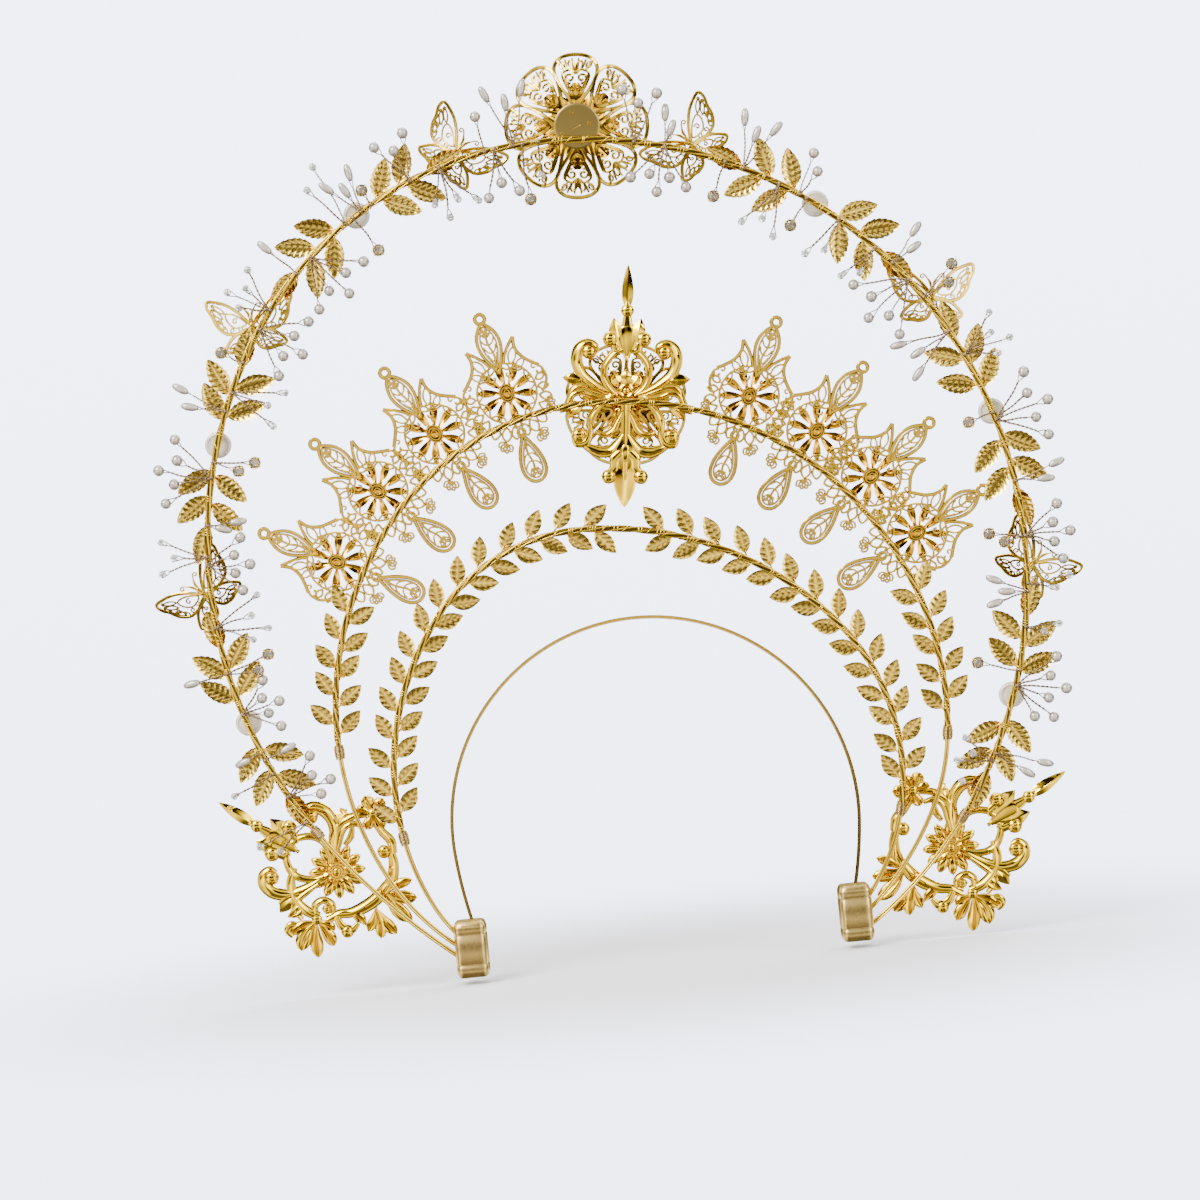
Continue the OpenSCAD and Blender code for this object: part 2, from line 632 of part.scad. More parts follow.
module top_flower() {
    flower_y = face_y + sheet_t + gap;
    color("gold") halo_plane() on_bend(OUTER, 1, 4.2, 5.5) {
        cupped_flower(top_flower_r, 46, flower_y);
        translate([0, flower_y + 0.4, 0]) rotate([-90, 0, 0]) cylinder(3, r = 3.4);
    }
}

// Places children at each bead of one kind on one side, with z along the stem and the stem's
// length as $stem
module at_beads(side, kind) {
    halo_plane() for (row = SPRIGS[side]) if (row[2] == kind) on_bend(OUTER, side, row[0])
        for (i = [0:row[3] - 1]) let (
            swing = row[3] == 1 ? 0 : (i % 2 == 0 ? fan_swing : -fan_swing),
            turn = (i - (row[3] - 1) / 2) * fan_step,
            reach = row[4] + swing,
            tip = [reach * sin(turn), fan_y + (i % 3) * fan_y_step, row[1] * reach * cos(turn)],
            way = tip - [0, root_y, 0])
            translate([0, root_y, 0])
            rotate([0, acos(way[2] / norm(way)), atan2(way[1], way[0])])
            translate([0, 0, norm(way)]) {
                $stem = norm(way);
                children();
            }
}

module pearls(side) {
    color("ivory") at_beads(side, PEARL) difference() {
        sphere(pearl_r);
        cylinder(3 * pearl_r, r = bead_bore_r, center = true);
    }
}

module rice_pearls(side) {
    r = (rice_l * rice_l + rice_w * rice_w) / (4 * rice_w);
    color("ivory") at_beads(side, RICE) rotate_extrude() intersection() {
        translate([rice_w / 2 - r, 0]) circle(r);
        translate([bead_bore_r, -rice_l * 0.42]) square([rice_w, rice_l * 0.84]);
    }
}

// Clear beads cut with eight facets on each half and a flat table at each end
module crystals(side) {
    r = crystal_w / 2 / cos(22.5);
    color("lightcyan") at_beads(side, CRYSTAL) difference() {
        for (end = [0, 1]) mirror([0, 0, end])
            cylinder(crystal_w / 2, r1 = r, r2 = r * 0.55, $fn = 8);
        cylinder(3 * r, r = bead_bore_r, center = true);
    }
}

// Cut stones with a table, eight crown facets and eight pavilion facets, facing away from the wire
module rhinestones(side) {
    crown_h = 1;
    pavilion_h = 1.2;
    color("white") at_beads(side, STONE) {
        cylinder(crown_h, r1 = stone_r, r2 = stone_r * 0.6, $fn = 8);
        translate([0, 0, -pavilion_h]) cylinder(pavilion_h, r1 = stone_r * 0.3, r2 = stone_r, $fn = 8);
    }
}

// Stems of each sprig from one knot behind the wire; a rhinestone's cup is soldered to its stem
module sprig_wires(side) {
    cup_h = 1.6;
    cup_t = 0.4;
    color("silver") {
        for (kind = [PEARL, RICE, CRYSTAL]) at_beads(side, kind)
            translate([0, 0, -$stem]) cylinder($stem + 0.8, r = stem_r, $fn = 6);
        at_beads(side, STONE) {
            translate([0, 0, -$stem]) cylinder($stem - cup_h, r = stem_r, $fn = 6);
            difference() {
                translate([0, 0, -cup_h - cup_t / 2]) cylinder(cup_h, r = stone_r + cup_t);
                translate([0, 0, -cup_h + cup_t / 2]) cylinder(cup_h, r = stone_r + 0.12);
            }
        }
        halo_plane() for (row = SPRIGS[side]) on_bend(OUTER, side, row[0])
            translate([0, root_y, 0]) sphere(root_r);
    }
}

headband();
outer_wire();
middle_wire();
inner_wire();
center_cartouche();
center_flower();
top_flower();
top_flower_disc();
for (s = [0, 1]) {
    side_collar(s);
    inner_laurel(s);
    middle_laurel(s);
    side_ornament(s);
    side_flower(s);
    cabochons(s);
    pearls(s);
    rice_pearls(s);
    crystals(s);
    rhinestones(s);
    sprig_wires(s);
    for (i = [1:4]) pendant(s, i);
    for (i = [1:3]) butterfly(s, i);
    for (i = [1:6]) leaf_spray(s, i);
}
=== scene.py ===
"""Halo crown: a headband under three upright wire halos, dressed with leaves, filigree and beads.

Sizes are in millimetres and turn into metres when a piece is made. Only the studio is given in metres.
At a place on a halo x runs down along the wire, y to the front, the way the wearer faces, and z outwards.
"""
import logging
from dataclasses import dataclass
from enum import Enum
from math import acos, atan, atan2, cos, degrees, log, pi, radians, sin, tau
from typing import Any, Callable, Iterable, Optional, Sequence, Union

import bpy
import numpy as np
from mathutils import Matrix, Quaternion, Vector

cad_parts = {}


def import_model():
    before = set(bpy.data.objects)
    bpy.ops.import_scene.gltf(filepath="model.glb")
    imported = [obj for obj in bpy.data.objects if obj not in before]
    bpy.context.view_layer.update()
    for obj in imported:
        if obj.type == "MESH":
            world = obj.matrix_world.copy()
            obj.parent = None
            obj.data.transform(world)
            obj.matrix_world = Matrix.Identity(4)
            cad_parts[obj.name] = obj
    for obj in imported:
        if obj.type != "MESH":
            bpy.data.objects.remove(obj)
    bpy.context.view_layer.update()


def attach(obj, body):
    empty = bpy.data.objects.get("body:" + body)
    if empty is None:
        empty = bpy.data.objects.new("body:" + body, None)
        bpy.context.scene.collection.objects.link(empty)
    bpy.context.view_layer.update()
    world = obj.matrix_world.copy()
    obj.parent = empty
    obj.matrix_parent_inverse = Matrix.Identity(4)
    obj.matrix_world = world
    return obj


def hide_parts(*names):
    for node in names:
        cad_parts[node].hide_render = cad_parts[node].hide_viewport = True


LOG = logging.getLogger("halo_crown")
METRE = 0.001
Points = np.ndarray
Place = np.ndarray
Pair = tuple[float, float]
Triple = tuple[float, float, float]
Color = tuple[float, float, float]
Random = np.random.Generator

# Height of the seat over the feet, lean of the halos in degrees, and how far back halos and band are footed
SEAT_HEIGHT = 138.0
HALO_LEAN = 8.0
HALO_DEPTH = 22.0
BAND_DEPTH = 15.0
# Arc rows of a halo, from its top, that are wrapped; the rest is a bare leg
WRAPPED_ROWS = 2
WIRE_RADIUS = 1.6
LEG_RADIUS = 1.0
COIL_RADIUS = 2.1
# Depths in a halo's plane: ornaments on the wire, leaves, their stems, ornaments over leaves, sprigs' roots
FACE_Y = 1.9
LEAF_Y = FACE_Y + 0.6
STEM_Y = FACE_Y + 0.45
OVER_Y = 3.6
ROOT_Y = -2.7
PENDANT_LIFT = 1.7


class Side(Enum):
    """Side of the wearer."""

    LEFT = 0
    RIGHT = 1

    @property
    def sign(self) -> int:
        """Direction of this side along x."""
        return -1 if self is Side.LEFT else 1

    def __str__(self) -> str:
        """Word used in the names of pieces."""
        return self.name.lower()


class Bead(Enum):
    """Kinds of bead that a sprig carries."""

    PEARL = 0
    RICE = 1
    CRYSTAL = 2
    STONE = 3


# Angles, places and matrices

def around(count: int) -> Points:
    """Angles of points spaced evenly round a circle."""
    return np.linspace(0, tau, count, endpoint=False)


def shift(x: float = 0, y: float = 0, z: float = 0) -> Place:
    """Matrix that moves by x, y, z."""
    return np.vstack([np.c_[np.eye(3), (x, y, z)], (0, 0, 0, 1)])


def turn(axis: str, angle: float) -> Place:
    """Matrix that turns about one axis.

    Args:
        axis: "x", "y" or "z".
        angle: in degrees, by the right-hand rule.

    Returns:
        A 4 by 4 matrix.
    """
    c, s = cos(radians(angle)), sin(radians(angle))
    i, j = {"x": (1, 2), "y": (2, 0), "z": (0, 1)}[axis]
    m = np.eye(4)
    m[i, i] = m[j, j] = c
    m[i, j], m[j, i] = -s, s
    return m


def flip_x(yes: bool = True) -> Place:
    """Mirror matrix across x, or the identity."""
    return np.diag([-1.0 if yes else 1.0, 1.0, 1.0, 1.0])


def moved(points: Points, place: Place) -> Points:
    """Points taken through a matrix."""
    return points @ place[:3, :3].T + place[:3, 3]


def ahead(y: float) -> Points:
    """Step of a length to the front."""
    return np.array([0, y, 0])


# Turns the axis of a lathe to the front
FORWARD = turn("x", -90)
HALO_PLANE = shift(0, -HALO_DEPTH, -SEAT_HEIGHT) @ turn("x", HALO_LEAN)
BAND_LEAN = -degrees(atan(BAND_DEPTH / SEAT_HEIGHT))
BAND_PLANE = shift(0, -BAND_DEPTH, -SEAT_HEIGHT) @ turn("x", BAND_LEAN)


@dataclass(frozen=True)
class Bend:
    """Wire bent in a plane as arcs from its top down both sides; a row is (radius, turn in degrees)."""

    top: Pair
    left: tuple[Pair, ...]
    right: tuple[Pair, ...]

    def rows(self, side: Side) -> tuple[Pair, ...]:
        """Arc rows of one side."""
        return self.left if side is Side.LEFT else self.right

    def at(self, side: Side, heading: float) -> Pair:
        """Point at a heading.

        Args:
            side: side of the wearer.
            heading: turn from the top in degrees.

        Returns:
            Its distance across and its height, from the top.
        """
        x = z = start = 0.0
        rows = self.rows(side)
        for i, (radius, sweep_turn) in enumerate(rows):
            end = heading if (heading <= start + sweep_turn or i == len(rows) - 1) else start + sweep_turn
            a, b = radians(start), radians(end)
            x += radius * (sin(b) - sin(a))
            z -= radius * (cos(a) - cos(b))
            if end == heading:
                break
            start = end
        return x, z

    def heading_at(self, side: Side, length: float) -> float:
        """Heading at a length along the wire.

        Args:
            side: side of the wearer.
            length: length from the top.

        Returns:
            The turn from the top in degrees.
        """
        heading = 0.0
        rows = self.rows(side)
        for radius, sweep_turn in rows[:-1]:
            row_length = radians(sweep_turn) * radius
            if length <= row_length:
                return heading + degrees(length / radius)
            length -= row_length
            heading += sweep_turn
        return heading + degrees(length / rows[-1][0])

    def length_at(self, side: Side, heading: float) -> float:
        """Length along the wire at a heading.

        Args:
            side: side of the wearer.
            heading: turn from the top in degrees, below zero beyond the top.

        Returns:
            The length from the top.
        """
        length = 0.0
        rows = self.rows(side)
        for radius, sweep_turn in rows[:-1]:
            if heading <= sweep_turn:
                return length + radians(heading) * radius
            length += radians(sweep_turn) * radius
            heading -= sweep_turn
        return length + radians(heading) * rows[-1][0]

    def whole_length(self, side: Side) -> float:
        """Length from the top to the end of one side."""
        return self.length_at(side, sum(row[1] for row in self.rows(side)))

    def foot_length(self, side: Side) -> float:
        """Length from the top to where the wrapped part ends."""
        return self.length_at(side, sum(row[1] for row in self.rows(side)[:WRAPPED_ROWS]))

    def spot(self, side: Side, heading: float, out: float = 0) -> Place:
        """Place on the wire in its plane: x runs down along it, y to the front, z outwards.

        Args:
            side: side of the wearer.
            heading: turn from the top in degrees.
            out: distance outside the wire.

        Returns:
            A matrix in the plane of the bend.
        """
        x, z = self.at(side, heading)
        return (shift(self.top[0], 0, self.top[1]) @ flip_x(side is Side.LEFT) @ shift(x, 0, z)
                @ turn("y", heading) @ shift(0, 0, out))

    def line(self, step: float, lengths: Optional[Pair] = None) -> Points:
        """Middle line of the wire.

        Args:
            step: distance between points.
            lengths: signed lengths from the top, left end first; the whole wire if left out.

        Returns:
            Points in the bend's plane.
        """
        first, last = lengths or (-self.whole_length(Side.LEFT), self.whole_length(Side.RIGHT))
        out = []
        for s in np.linspace(first, last, max(2, int((last - first) / step) + 1)):
            side = Side.LEFT if s < 0 else Side.RIGHT
            x, z = self.at(side, self.heading_at(side, abs(float(s))))
            out.append((self.top[0] + side.sign * x, 0.0, self.top[1] + z))
        return np.array(out)


OUTER = Bend((-19, 342), ((153, 60), (193, 64.5), (285, 16.5)), ((185, 60), (194.5, 65), (178, 20.5)))
MIDDLE = Bend((-10, 232), ((114, 50), (142, 42.5), (136, 23), (104, 26.5)),
              ((137, 50), (144.5, 45), (93, 21), (139, 22.5)))
INNER = Bend((-20, 179), ((79, 50), (120, 49.5), (110, 16.5), (65, 17)), ((137, 50), (98, 52), (92, 27)))
BAND = Bend((0, SEAT_HEIGHT), ((86.5, 95), (200, 12)), ((88.5, 95), (180, 14)))


# Lines, drawn in the plane y 0 with x across and z outwards

def unit(v: Points) -> Points:
    """Vectors brought to length one."""
    return v / np.maximum(np.linalg.norm(v, axis=-1, keepdims=True), 1e-9)


def drawn(pairs: Points) -> Points:
    """Points of a drawing from rows of across and outwards."""
    return np.c_[pairs[:, 0], np.zeros(len(pairs)), pairs[:, 1]]


def coil(line: Points, angle: Points, radius: float) -> Points:
    """Line wound at these angles, in radians, round another one that lies in a plane across y."""
    out = np.cross(unit(np.gradient(line, axis=0)), ahead(1))
    return line + radius * (out * np.cos(angle)[:, None] + ahead(1) * np.sin(angle)[:, None])


def axis(foot: Pair, tip: Pair) -> tuple[Points, Points, Points]:
    """Straight way through a drawing.

    Args:
        foot: its start.
        tip: its end.

    Returns:
        The start, the way to the tip and the unit step to its left.
    """
    start = np.array(foot, float)
    along = np.array(tip, float) - start
    return start, along, np.array([-along[1], along[0]]) / np.linalg.norm(along)


def swell(u: Points, fat: float, sharp: float) -> Points:
    """Width from 0 at the foot to 1, where the share u is fat, and 0 at the tip; a low sharp is blunt."""
    power = log(0.5) / log(fat)
    return np.sin(pi * np.clip(u ** power, 0, 1)) ** sharp


def spline(points: Sequence[Sequence[float]], count: int, closed: bool = False) -> Points:
    """Smooth line through points.

    Args:
        points: control points of two or three numbers; two are across and outwards.
        count: number of points from one control point to the next.
        closed: whether the line returns to its start.

    Returns:
        Points of three numbers, with y 0 where it wasn't given.
    """
    p = np.array(points, float)
    if p.shape[1] == 2:
        p = drawn(p)
    if closed:
        q = np.vstack([p[-1], p, p[0], p[1]])
    else:
        q = np.vstack([2 * p[0] - p[1], p, 2 * p[-1] - p[-2]])
    t = np.linspace(0, 1, count, endpoint=False)[:, None]
    out = []
    for a, b, c, d in zip(q[:-3], q[1:-2], q[2:-1], q[3:]):
        out.append(0.5 * (2 * b + (c - a) * t + (2 * a - 5 * b + 4 * c - d) * t ** 2
                          + (3 * b - a - 3 * c + d) * t ** 3))
    if not closed:
        out.append(p[-1:])
    return np.vstack(out)


def ring_line(center: Pair, rx: float, rz: float, count: int, tilt: float = 0) -> Points:
    """Closed oval line in a drawing.

    Args:
        center: its middle.
        rx: reach across.
        rz: reach outwards.
        count: number of points.
        tilt: turn of the oval in degrees.

    Returns:
        Points of the line.
    """
    a = around(count)
    c, s = cos(radians(tilt)), sin(radians(tilt))
    x, z = rx * np.cos(a), rz * np.sin(a)
    return np.c_[center[0] + x * c - z * s, np.zeros(count), center[1] + x * s + z * c]


def circle(center: Pair, radius: float, count: int = 20) -> Points:
    """Closed round line in a drawing."""
    return ring_line(center, radius, radius, count)


def drop_line(foot: Pair, tip: Pair, width: float, fat: float, count: int, blunt: bool = False) -> Points:
    """Closed teardrop line with a pointed foot.

    Args:
        foot: the pointed end.
        tip: the far end.
        width: greatest width.
        fat: where along the drop it is widest, from 0 to 1.
        count: number of points.
        blunt: whether the far end is fully round.

    Returns:
        Points of a closed line.
    """
    start, along, across = axis(foot, tip)
    a = around(count)
    u = (1 - np.cos(a)) / 2
    w = np.sin(a) * (u ** ((fat - 0.5) / (1 - fat)) if blunt else swell(u, fat, 0.35))
    w = w / np.abs(w).max() * width / 2
    return drawn(start + np.outer(u, along) + np.outer(w, across))


def scroll_line(center: Pair, r0: float, r1: float, start: float, stop: float, step: float = 14) -> Points:
    """Spiral line in a drawing from one radius to another.

    Args:
        center: its middle.
        r0: radius at the start.
        r1: radius at the end.
        start: angle of its start.
        stop: angle of its end.
        step: degrees from one point to the next.

    Returns:
        Points of the line.
    """
    count = max(4, int(abs(stop - start) / step))
    a = np.radians(np.linspace(start, stop, count))
    r = np.linspace(r0, r1, count)
    return np.c_[center[0] + r * np.cos(a), np.zeros(count), center[1] + r * np.sin(a)]


# Cross-sections, in units of half the width and half the height

def round_stock(sides: int) -> Points:
    """Cross-section of round wire."""
    a = around(sides)
    return np.c_[np.cos(a), np.sin(a)]


def stock(*upper: Pair) -> Points:
    """Cross-section from its upper face; the lower one is the same, turned half round."""
    return np.array(list(upper) + [(-x, -y) for x, y in upper], float)


ROUND4, ROUND5, ROUND6, ROUND8, ROUND12 = (round_stock(n) for n in (4, 5, 6, 8, 12))
# A rounded ridge between two hollows
RIDGED = stock((1, 0), (0.93, 0.42), (0.74, 0.52), (0.52, 0.5), (0.3, 0.82), (0, 1), (-0.3, 0.82),
               (-0.52, 0.5), (-0.74, 0.52), (-0.93, 0.42))
# A plain crown
DOMED = stock((1, 0), (0.9, 0.5), (0.62, 0.84), (0.3, 0.97), (0, 1), (-0.3, 0.97), (-0.62, 0.84),
              (-0.9, 0.5))
# A furrow along the middle
GROOVED = stock((1, 0), (0.92, 0.42), (0.74, 0.78), (0.5, 0.98), (0.26, 0.86), (0.1, 0.5), (0, 0.36),
                (-0.1, 0.5), (-0.26, 0.86), (-0.5, 0.98), (-0.74, 0.78), (-0.92, 0.42))
# A sharp midrib
KEEN = stock((1, 0), (0.72, 0.34), (0.3, 0.62), (0, 1), (-0.3, 0.62), (-0.72, 0.34))
# Flat strip with softened edges
STRIP = stock((1, 0.6), (0.8, 1), (-0.8, 1), (-1, 0.6))


def placed(name: str, data: bpy.types.ID) -> bpy.types.Object:
    """New object in the scene.

    Args:
        name: its name.
        data: its mesh, light or camera.

    Returns:
        The object.
    """
    made = bpy.data.objects.new(name, data)
    bpy.context.scene.collection.objects.link(made)
    return made


class Shell:
    """Vertices and faces that gather into one mesh."""

    def __init__(self) -> None:
        """Starts empty."""
        self.points: list[Points] = []
        self.shade_amounts: list[Points] = []
        self.faces: list[list[int]] = []
        self.marks: list[int] = []
        self.count = 0

    def add(self, points: Points, faces: Iterable[Sequence[int]], place: Optional[Place] = None,
            depth: Union[float, Points] = 0.0, mark: int = 0) -> None:
        """Adds faces, turned the right way out if the place is a mirror.

        Args:
            points: vertices.
            faces: vertex numbers of each face.
            place: matrix to take the vertices through.
            depth: painted shade of each vertex, from 0 to 1, that darkens its colour as in a hollow.
            mark: number of the finish.
        """
        flipped = False
        if place is not None:
            points = moved(points, place)
            flipped = np.linalg.det(place[:3, :3]) < 0
        for face in faces:
            row = [self.count + int(i) for i in face]
            self.faces.append(row[::-1] if flipped else row)
            self.marks.append(mark)
        self.points.append(points)
        self.shade_amounts.append(np.broadcast_to(np.asarray(depth, float), (len(points),)).copy())
        self.count += len(points)

    def sweep(self, path: Points, section: Points, wide: Union[float, Sequence[float]],
              tall: Union[float, Sequence[float], None] = None, place: Optional[Place] = None,
              closed: bool = False, up: Sequence[float] = (0, 1, 0), mark: int = 0) -> None:
        """Sweeps a cross-section along a line.

        Args:
            path: middle line.
            section: closed outline in units of half the width and half the height.
            wide: half width, one or for each point.
            tall: half height, as wide if left out.
            place: matrix for the result.
            closed: whether the line returns to its start.
            up: direction of the height.
            mark: number of the finish.
        """
        n, k = len(path), len(section)
        along = unit(np.roll(path, -1, 0) - np.roll(path, 1, 0) if closed else np.gradient(path, axis=0))
        across = unit(np.cross(along, np.asarray(up, float)))
        lift = np.cross(across, along)
        w = np.broadcast_to(np.asarray(wide, float), (n,))
        h = w if tall is None else np.broadcast_to(np.asarray(tall, float), (n,))
        points = (path[:, None] + across[:, None] * (section[None, :, :1] * w[:, None, None])
                  + lift[:, None] * (section[None, :, 1:] * h[:, None, None])).reshape(-1, 3)
        i, j = np.meshgrid(np.arange(n if closed else n - 1), np.arange(k), indexing="ij")
        i1, j1 = (i + 1) % n, (j + 1) % k
        quads = np.stack([i * k + j, i1 * k + j, i1 * k + j1, i * k + j1], -1).reshape(-1, 4).tolist()
        if not closed:
            quads.append(list(range(k)))
            quads.append([(n - 1) * k + m for m in range(k - 1, -1, -1)])
        self.add(points, quads, place, mark=mark)

    def tower(self, rings: Sequence[Points], place: Optional[Place] = None, mark: int = 0) -> None:
        """Joins rings of points that lie one over another, and closes both ends.

        Args:
            rings: rings of equally many points, from the lower end to the upper one.
            place: matrix for the result.
            mark: number of the finish.
        """
        sides, last = len(rings[0]), len(rings) - 1
        quads = []
        for m in range(last):
            for i in range(sides):
                j = (i + 1) % sides
                quads.append([m * sides + i, m * sides + j, (m + 1) * sides + j, (m + 1) * sides + i])
        quads.append(list(range(sides - 1, -1, -1)))
        quads.append([last * sides + i for i in range(sides)])
        self.add(np.vstack(rings), quads, place, mark=mark)

    def lathe(self, profile: Sequence[Pair], sides: int, place: Place, mark: int = 0) -> None:
        """Turns a profile of (radius, height along z), from its lower end up, round z."""
        a = around(sides)
        self.tower([np.c_[r * np.cos(a), r * np.sin(a), np.full(sides, z)] for r, z in profile], place, mark)

    def ball(self, radius: float, place: Place, sides: int, rings: int, squash: float = 1) -> None:
        """Ball round z, with facets round it and from pole to pole, squashed to a share of its height."""
        angles = np.linspace(-pi / 2, pi / 2, rings + 1)
        self.lathe([(radius * max(cos(a), 0.02), radius * sin(a) * squash) for a in angles], sides, place)

    def hoop(self, center: Pair, reach: Pair, wire: float, y: float, place: Place, count: int,
             mark: int = 0) -> None:
        """Oval ring of round wire, with its middle and reach given across and outwards."""
        line = ring_line(center, *reach, count) + ahead(y)
        self.sweep(line, ROUND6, wire, place=place, closed=True, mark=mark)

    def sheet(self, rows: Points, thickness: float, place: Place, depth: Points, mark: int = 0) -> None:
        """Closed sheet of even thickness over a grid of points, thickened along y.

        Args:
            rows: grid of points, one row after another.
            thickness: distance between the two faces.
            place: matrix for the result.
            depth: painted shade of each point of the grid, from 0 to 1.
            mark: number of the finish.
        """
        n, m = rows.shape[:2]
        flat = rows.reshape(-1, 3)
        half = ahead(thickness / 2)
        i, j = np.meshgrid(np.arange(n - 1), np.arange(m - 1), indexing="ij")
        a, b = i * m + j, i * m + j + 1
        c, d = (i + 1) * m + j + 1, (i + 1) * m + j
        front = np.stack([a, b, c, d], -1).reshape(-1, 4)
        back = np.stack([a, d, c, b], -1).reshape(-1, 4) + n * m
        rim = ([i * m for i in range(n)] + [(n - 1) * m + j for j in range(1, m)]
               + [i * m + m - 1 for i in range(n - 2, -1, -1)] + list(range(m - 2, 0, -1)))
        edge = [[rim[t - 1], rim[t], rim[t] + n * m, rim[t - 1] + n * m] for t in range(len(rim))]
        middle = n // 2 * m + m // 2
        if np.cross(flat[middle + m] - flat[middle], flat[middle + 1] - flat[middle])[1] < 0:
            edge = [e[::-1] for e in edge]
        else:
            front, back = front[:, ::-1], back[:, ::-1]
        self.add(np.vstack([flat + half, flat - half]), front.tolist() + back.tolist() + edge, place,
                 np.tile(depth.reshape(-1), 2), mark)

    def piece(self, name: str, slot: str, finishes: Sequence[bpy.types.Material], replaces: Sequence[str],
              crease: float = 42, faceted: bool = False) -> None:
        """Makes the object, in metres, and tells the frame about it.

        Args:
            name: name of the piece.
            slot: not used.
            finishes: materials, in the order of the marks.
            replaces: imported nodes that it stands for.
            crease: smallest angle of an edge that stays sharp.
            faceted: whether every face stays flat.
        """
        points = np.vstack(self.points) * METRE
        mesh = bpy.data.meshes.new(name)
        mesh.from_pydata(points.tolist(), [], self.faces)
        mesh.polygons.foreach_set("use_smooth", [not faceted] * len(mesh.polygons))
        mesh.polygons.foreach_set("material_index", self.marks)
        # Painted shade of each vertex, which the gold finishes read to darken their colour
        layer = mesh.attributes.new("recess", "FLOAT", "POINT")
        layer.data.foreach_set("value", np.concatenate(self.shade_amounts).astype(np.float32))
        for finish in finishes:
            mesh.materials.append(finish)
        mesh.update()
        if not faceted:
            mesh.set_sharp_from_angle(angle=radians(crease))
        made = placed(name, mesh)
        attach(made, "root")
        if replaces:
            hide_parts(*replaces)
        LOG.info("%s: %d triangles", name, sum(len(f) - 2 for f in self.faces))


# Finishes

# Number or name of a shader's socket
Key = Union[int, str]


def operator(operation: str, swapped: bool = False) -> Callable[["Term", Any], "Term"]:
    """Makes one of a Term's operators.

    Args:
        operation: what the Math node does.
        swapped: whether the other value comes first.

    Returns:
        A method.
    """
    def method(term: "Term", other: Any) -> "Term":
        """Result of one Math node."""
        first, second = (other, term) if swapped else (term, other)
        return term.bench.node("Math", {"operation": operation}, {0: first, 1: second})[0]
    return method


class Term:
    """Socket of a shader that can stand in an arithmetic expression."""

    def __init__(self, bench: "Bench", socket: bpy.types.NodeSocket) -> None:
        """Wraps an output socket of the bench's tree."""
        self.bench = bench
        self.socket = socket

    __add__, __radd__ = operator("ADD"), operator("ADD", True)
    __sub__, __rsub__ = operator("SUBTRACT"), operator("SUBTRACT", True)
    __mul__, __rmul__ = operator("MULTIPLY"), operator("MULTIPLY", True)
    __pow__ = operator("POWER")


class Bench:
    """Node tree of one material or of the world."""

    def __init__(self, tree: bpy.types.NodeTree) -> None:
        """Clears the tree."""
        self.tree = tree
        tree.nodes.clear()

    def node(self, kind: str, settings: Optional[dict[str, Any]] = None,
             inputs: Optional[dict[Key, Any]] = None) -> dict[Key, Term]:
        """Adds a node.

        Args:
            kind: the node's type without ShaderNode in front.
            settings: its properties, set first; "stops" fills a colour ramp.
            inputs: a value or a Term for each socket, by name or number.

        Returns:
            Its outputs by number and by name.
        """
        made = self.tree.nodes.new(f"ShaderNode{kind}")
        for key, value in (settings or {}).items():
            if key == "stops":
                ramp = made.color_ramp
                while len(ramp.elements) < len(value):
                    ramp.elements.new(0.5)
                for element, (where, color) in zip(ramp.elements, value):
                    element.position = where
                    element.color = (*color, 1)
            else:
                setattr(made, key, value)
        for key, value in (inputs or {}).items():
            socket = made.inputs[key]
            if isinstance(value, Term):
                self.tree.links.new(value.socket, socket)
            elif isinstance(value, tuple) and len(value) == 3 and socket.type == "RGBA":
                socket.default_value = (*value, 1.0)
            else:
                socket.default_value = value
        outputs: dict[Key, Term] = {}
        for number, socket in enumerate(made.outputs):
            outputs[number] = outputs[socket.name] = Term(self, socket)
        return outputs

    def noise(self, scale: float, detail: float) -> Term:
        """Noise about 0.5 over the object's own coordinates, of so many waves to a metre and finer layers."""
        where = self.node("TexCoord")["Object"]
        return self.node("TexNoise", None, {"Vector": where, "Scale": scale, "Detail": detail})[0]

    def blend(self, amount: Any, first: Any, second: Any) -> Term:
        """Two colours, mixed by the share of the second one."""
        return self.node("Mix", {"data_type": "RGBA"}, {0: amount, 6: first, 7: second})[2]

    def surface(self, inputs: dict[str, Any]) -> None:
        """Adds the surface's shader with these sockets and joins it to the output."""
        shader = self.node("BsdfPrincipled", None, inputs)
        self.node("OutputMaterial", None, {"Surface": shader[0]})


def new_material(name: str, color: Color) -> tuple[bpy.types.Material, Bench]:
    """Empty material.

    Args:
        name: its name.
        color: its plain colour outside of renders.

    Returns:
        The material and the bench of its nodes.
    """
    made = bpy.data.materials.new(name)
    made.use_nodes = True
    made.diffuse_color = (*color, 1)
    return made, Bench(made.node_tree)


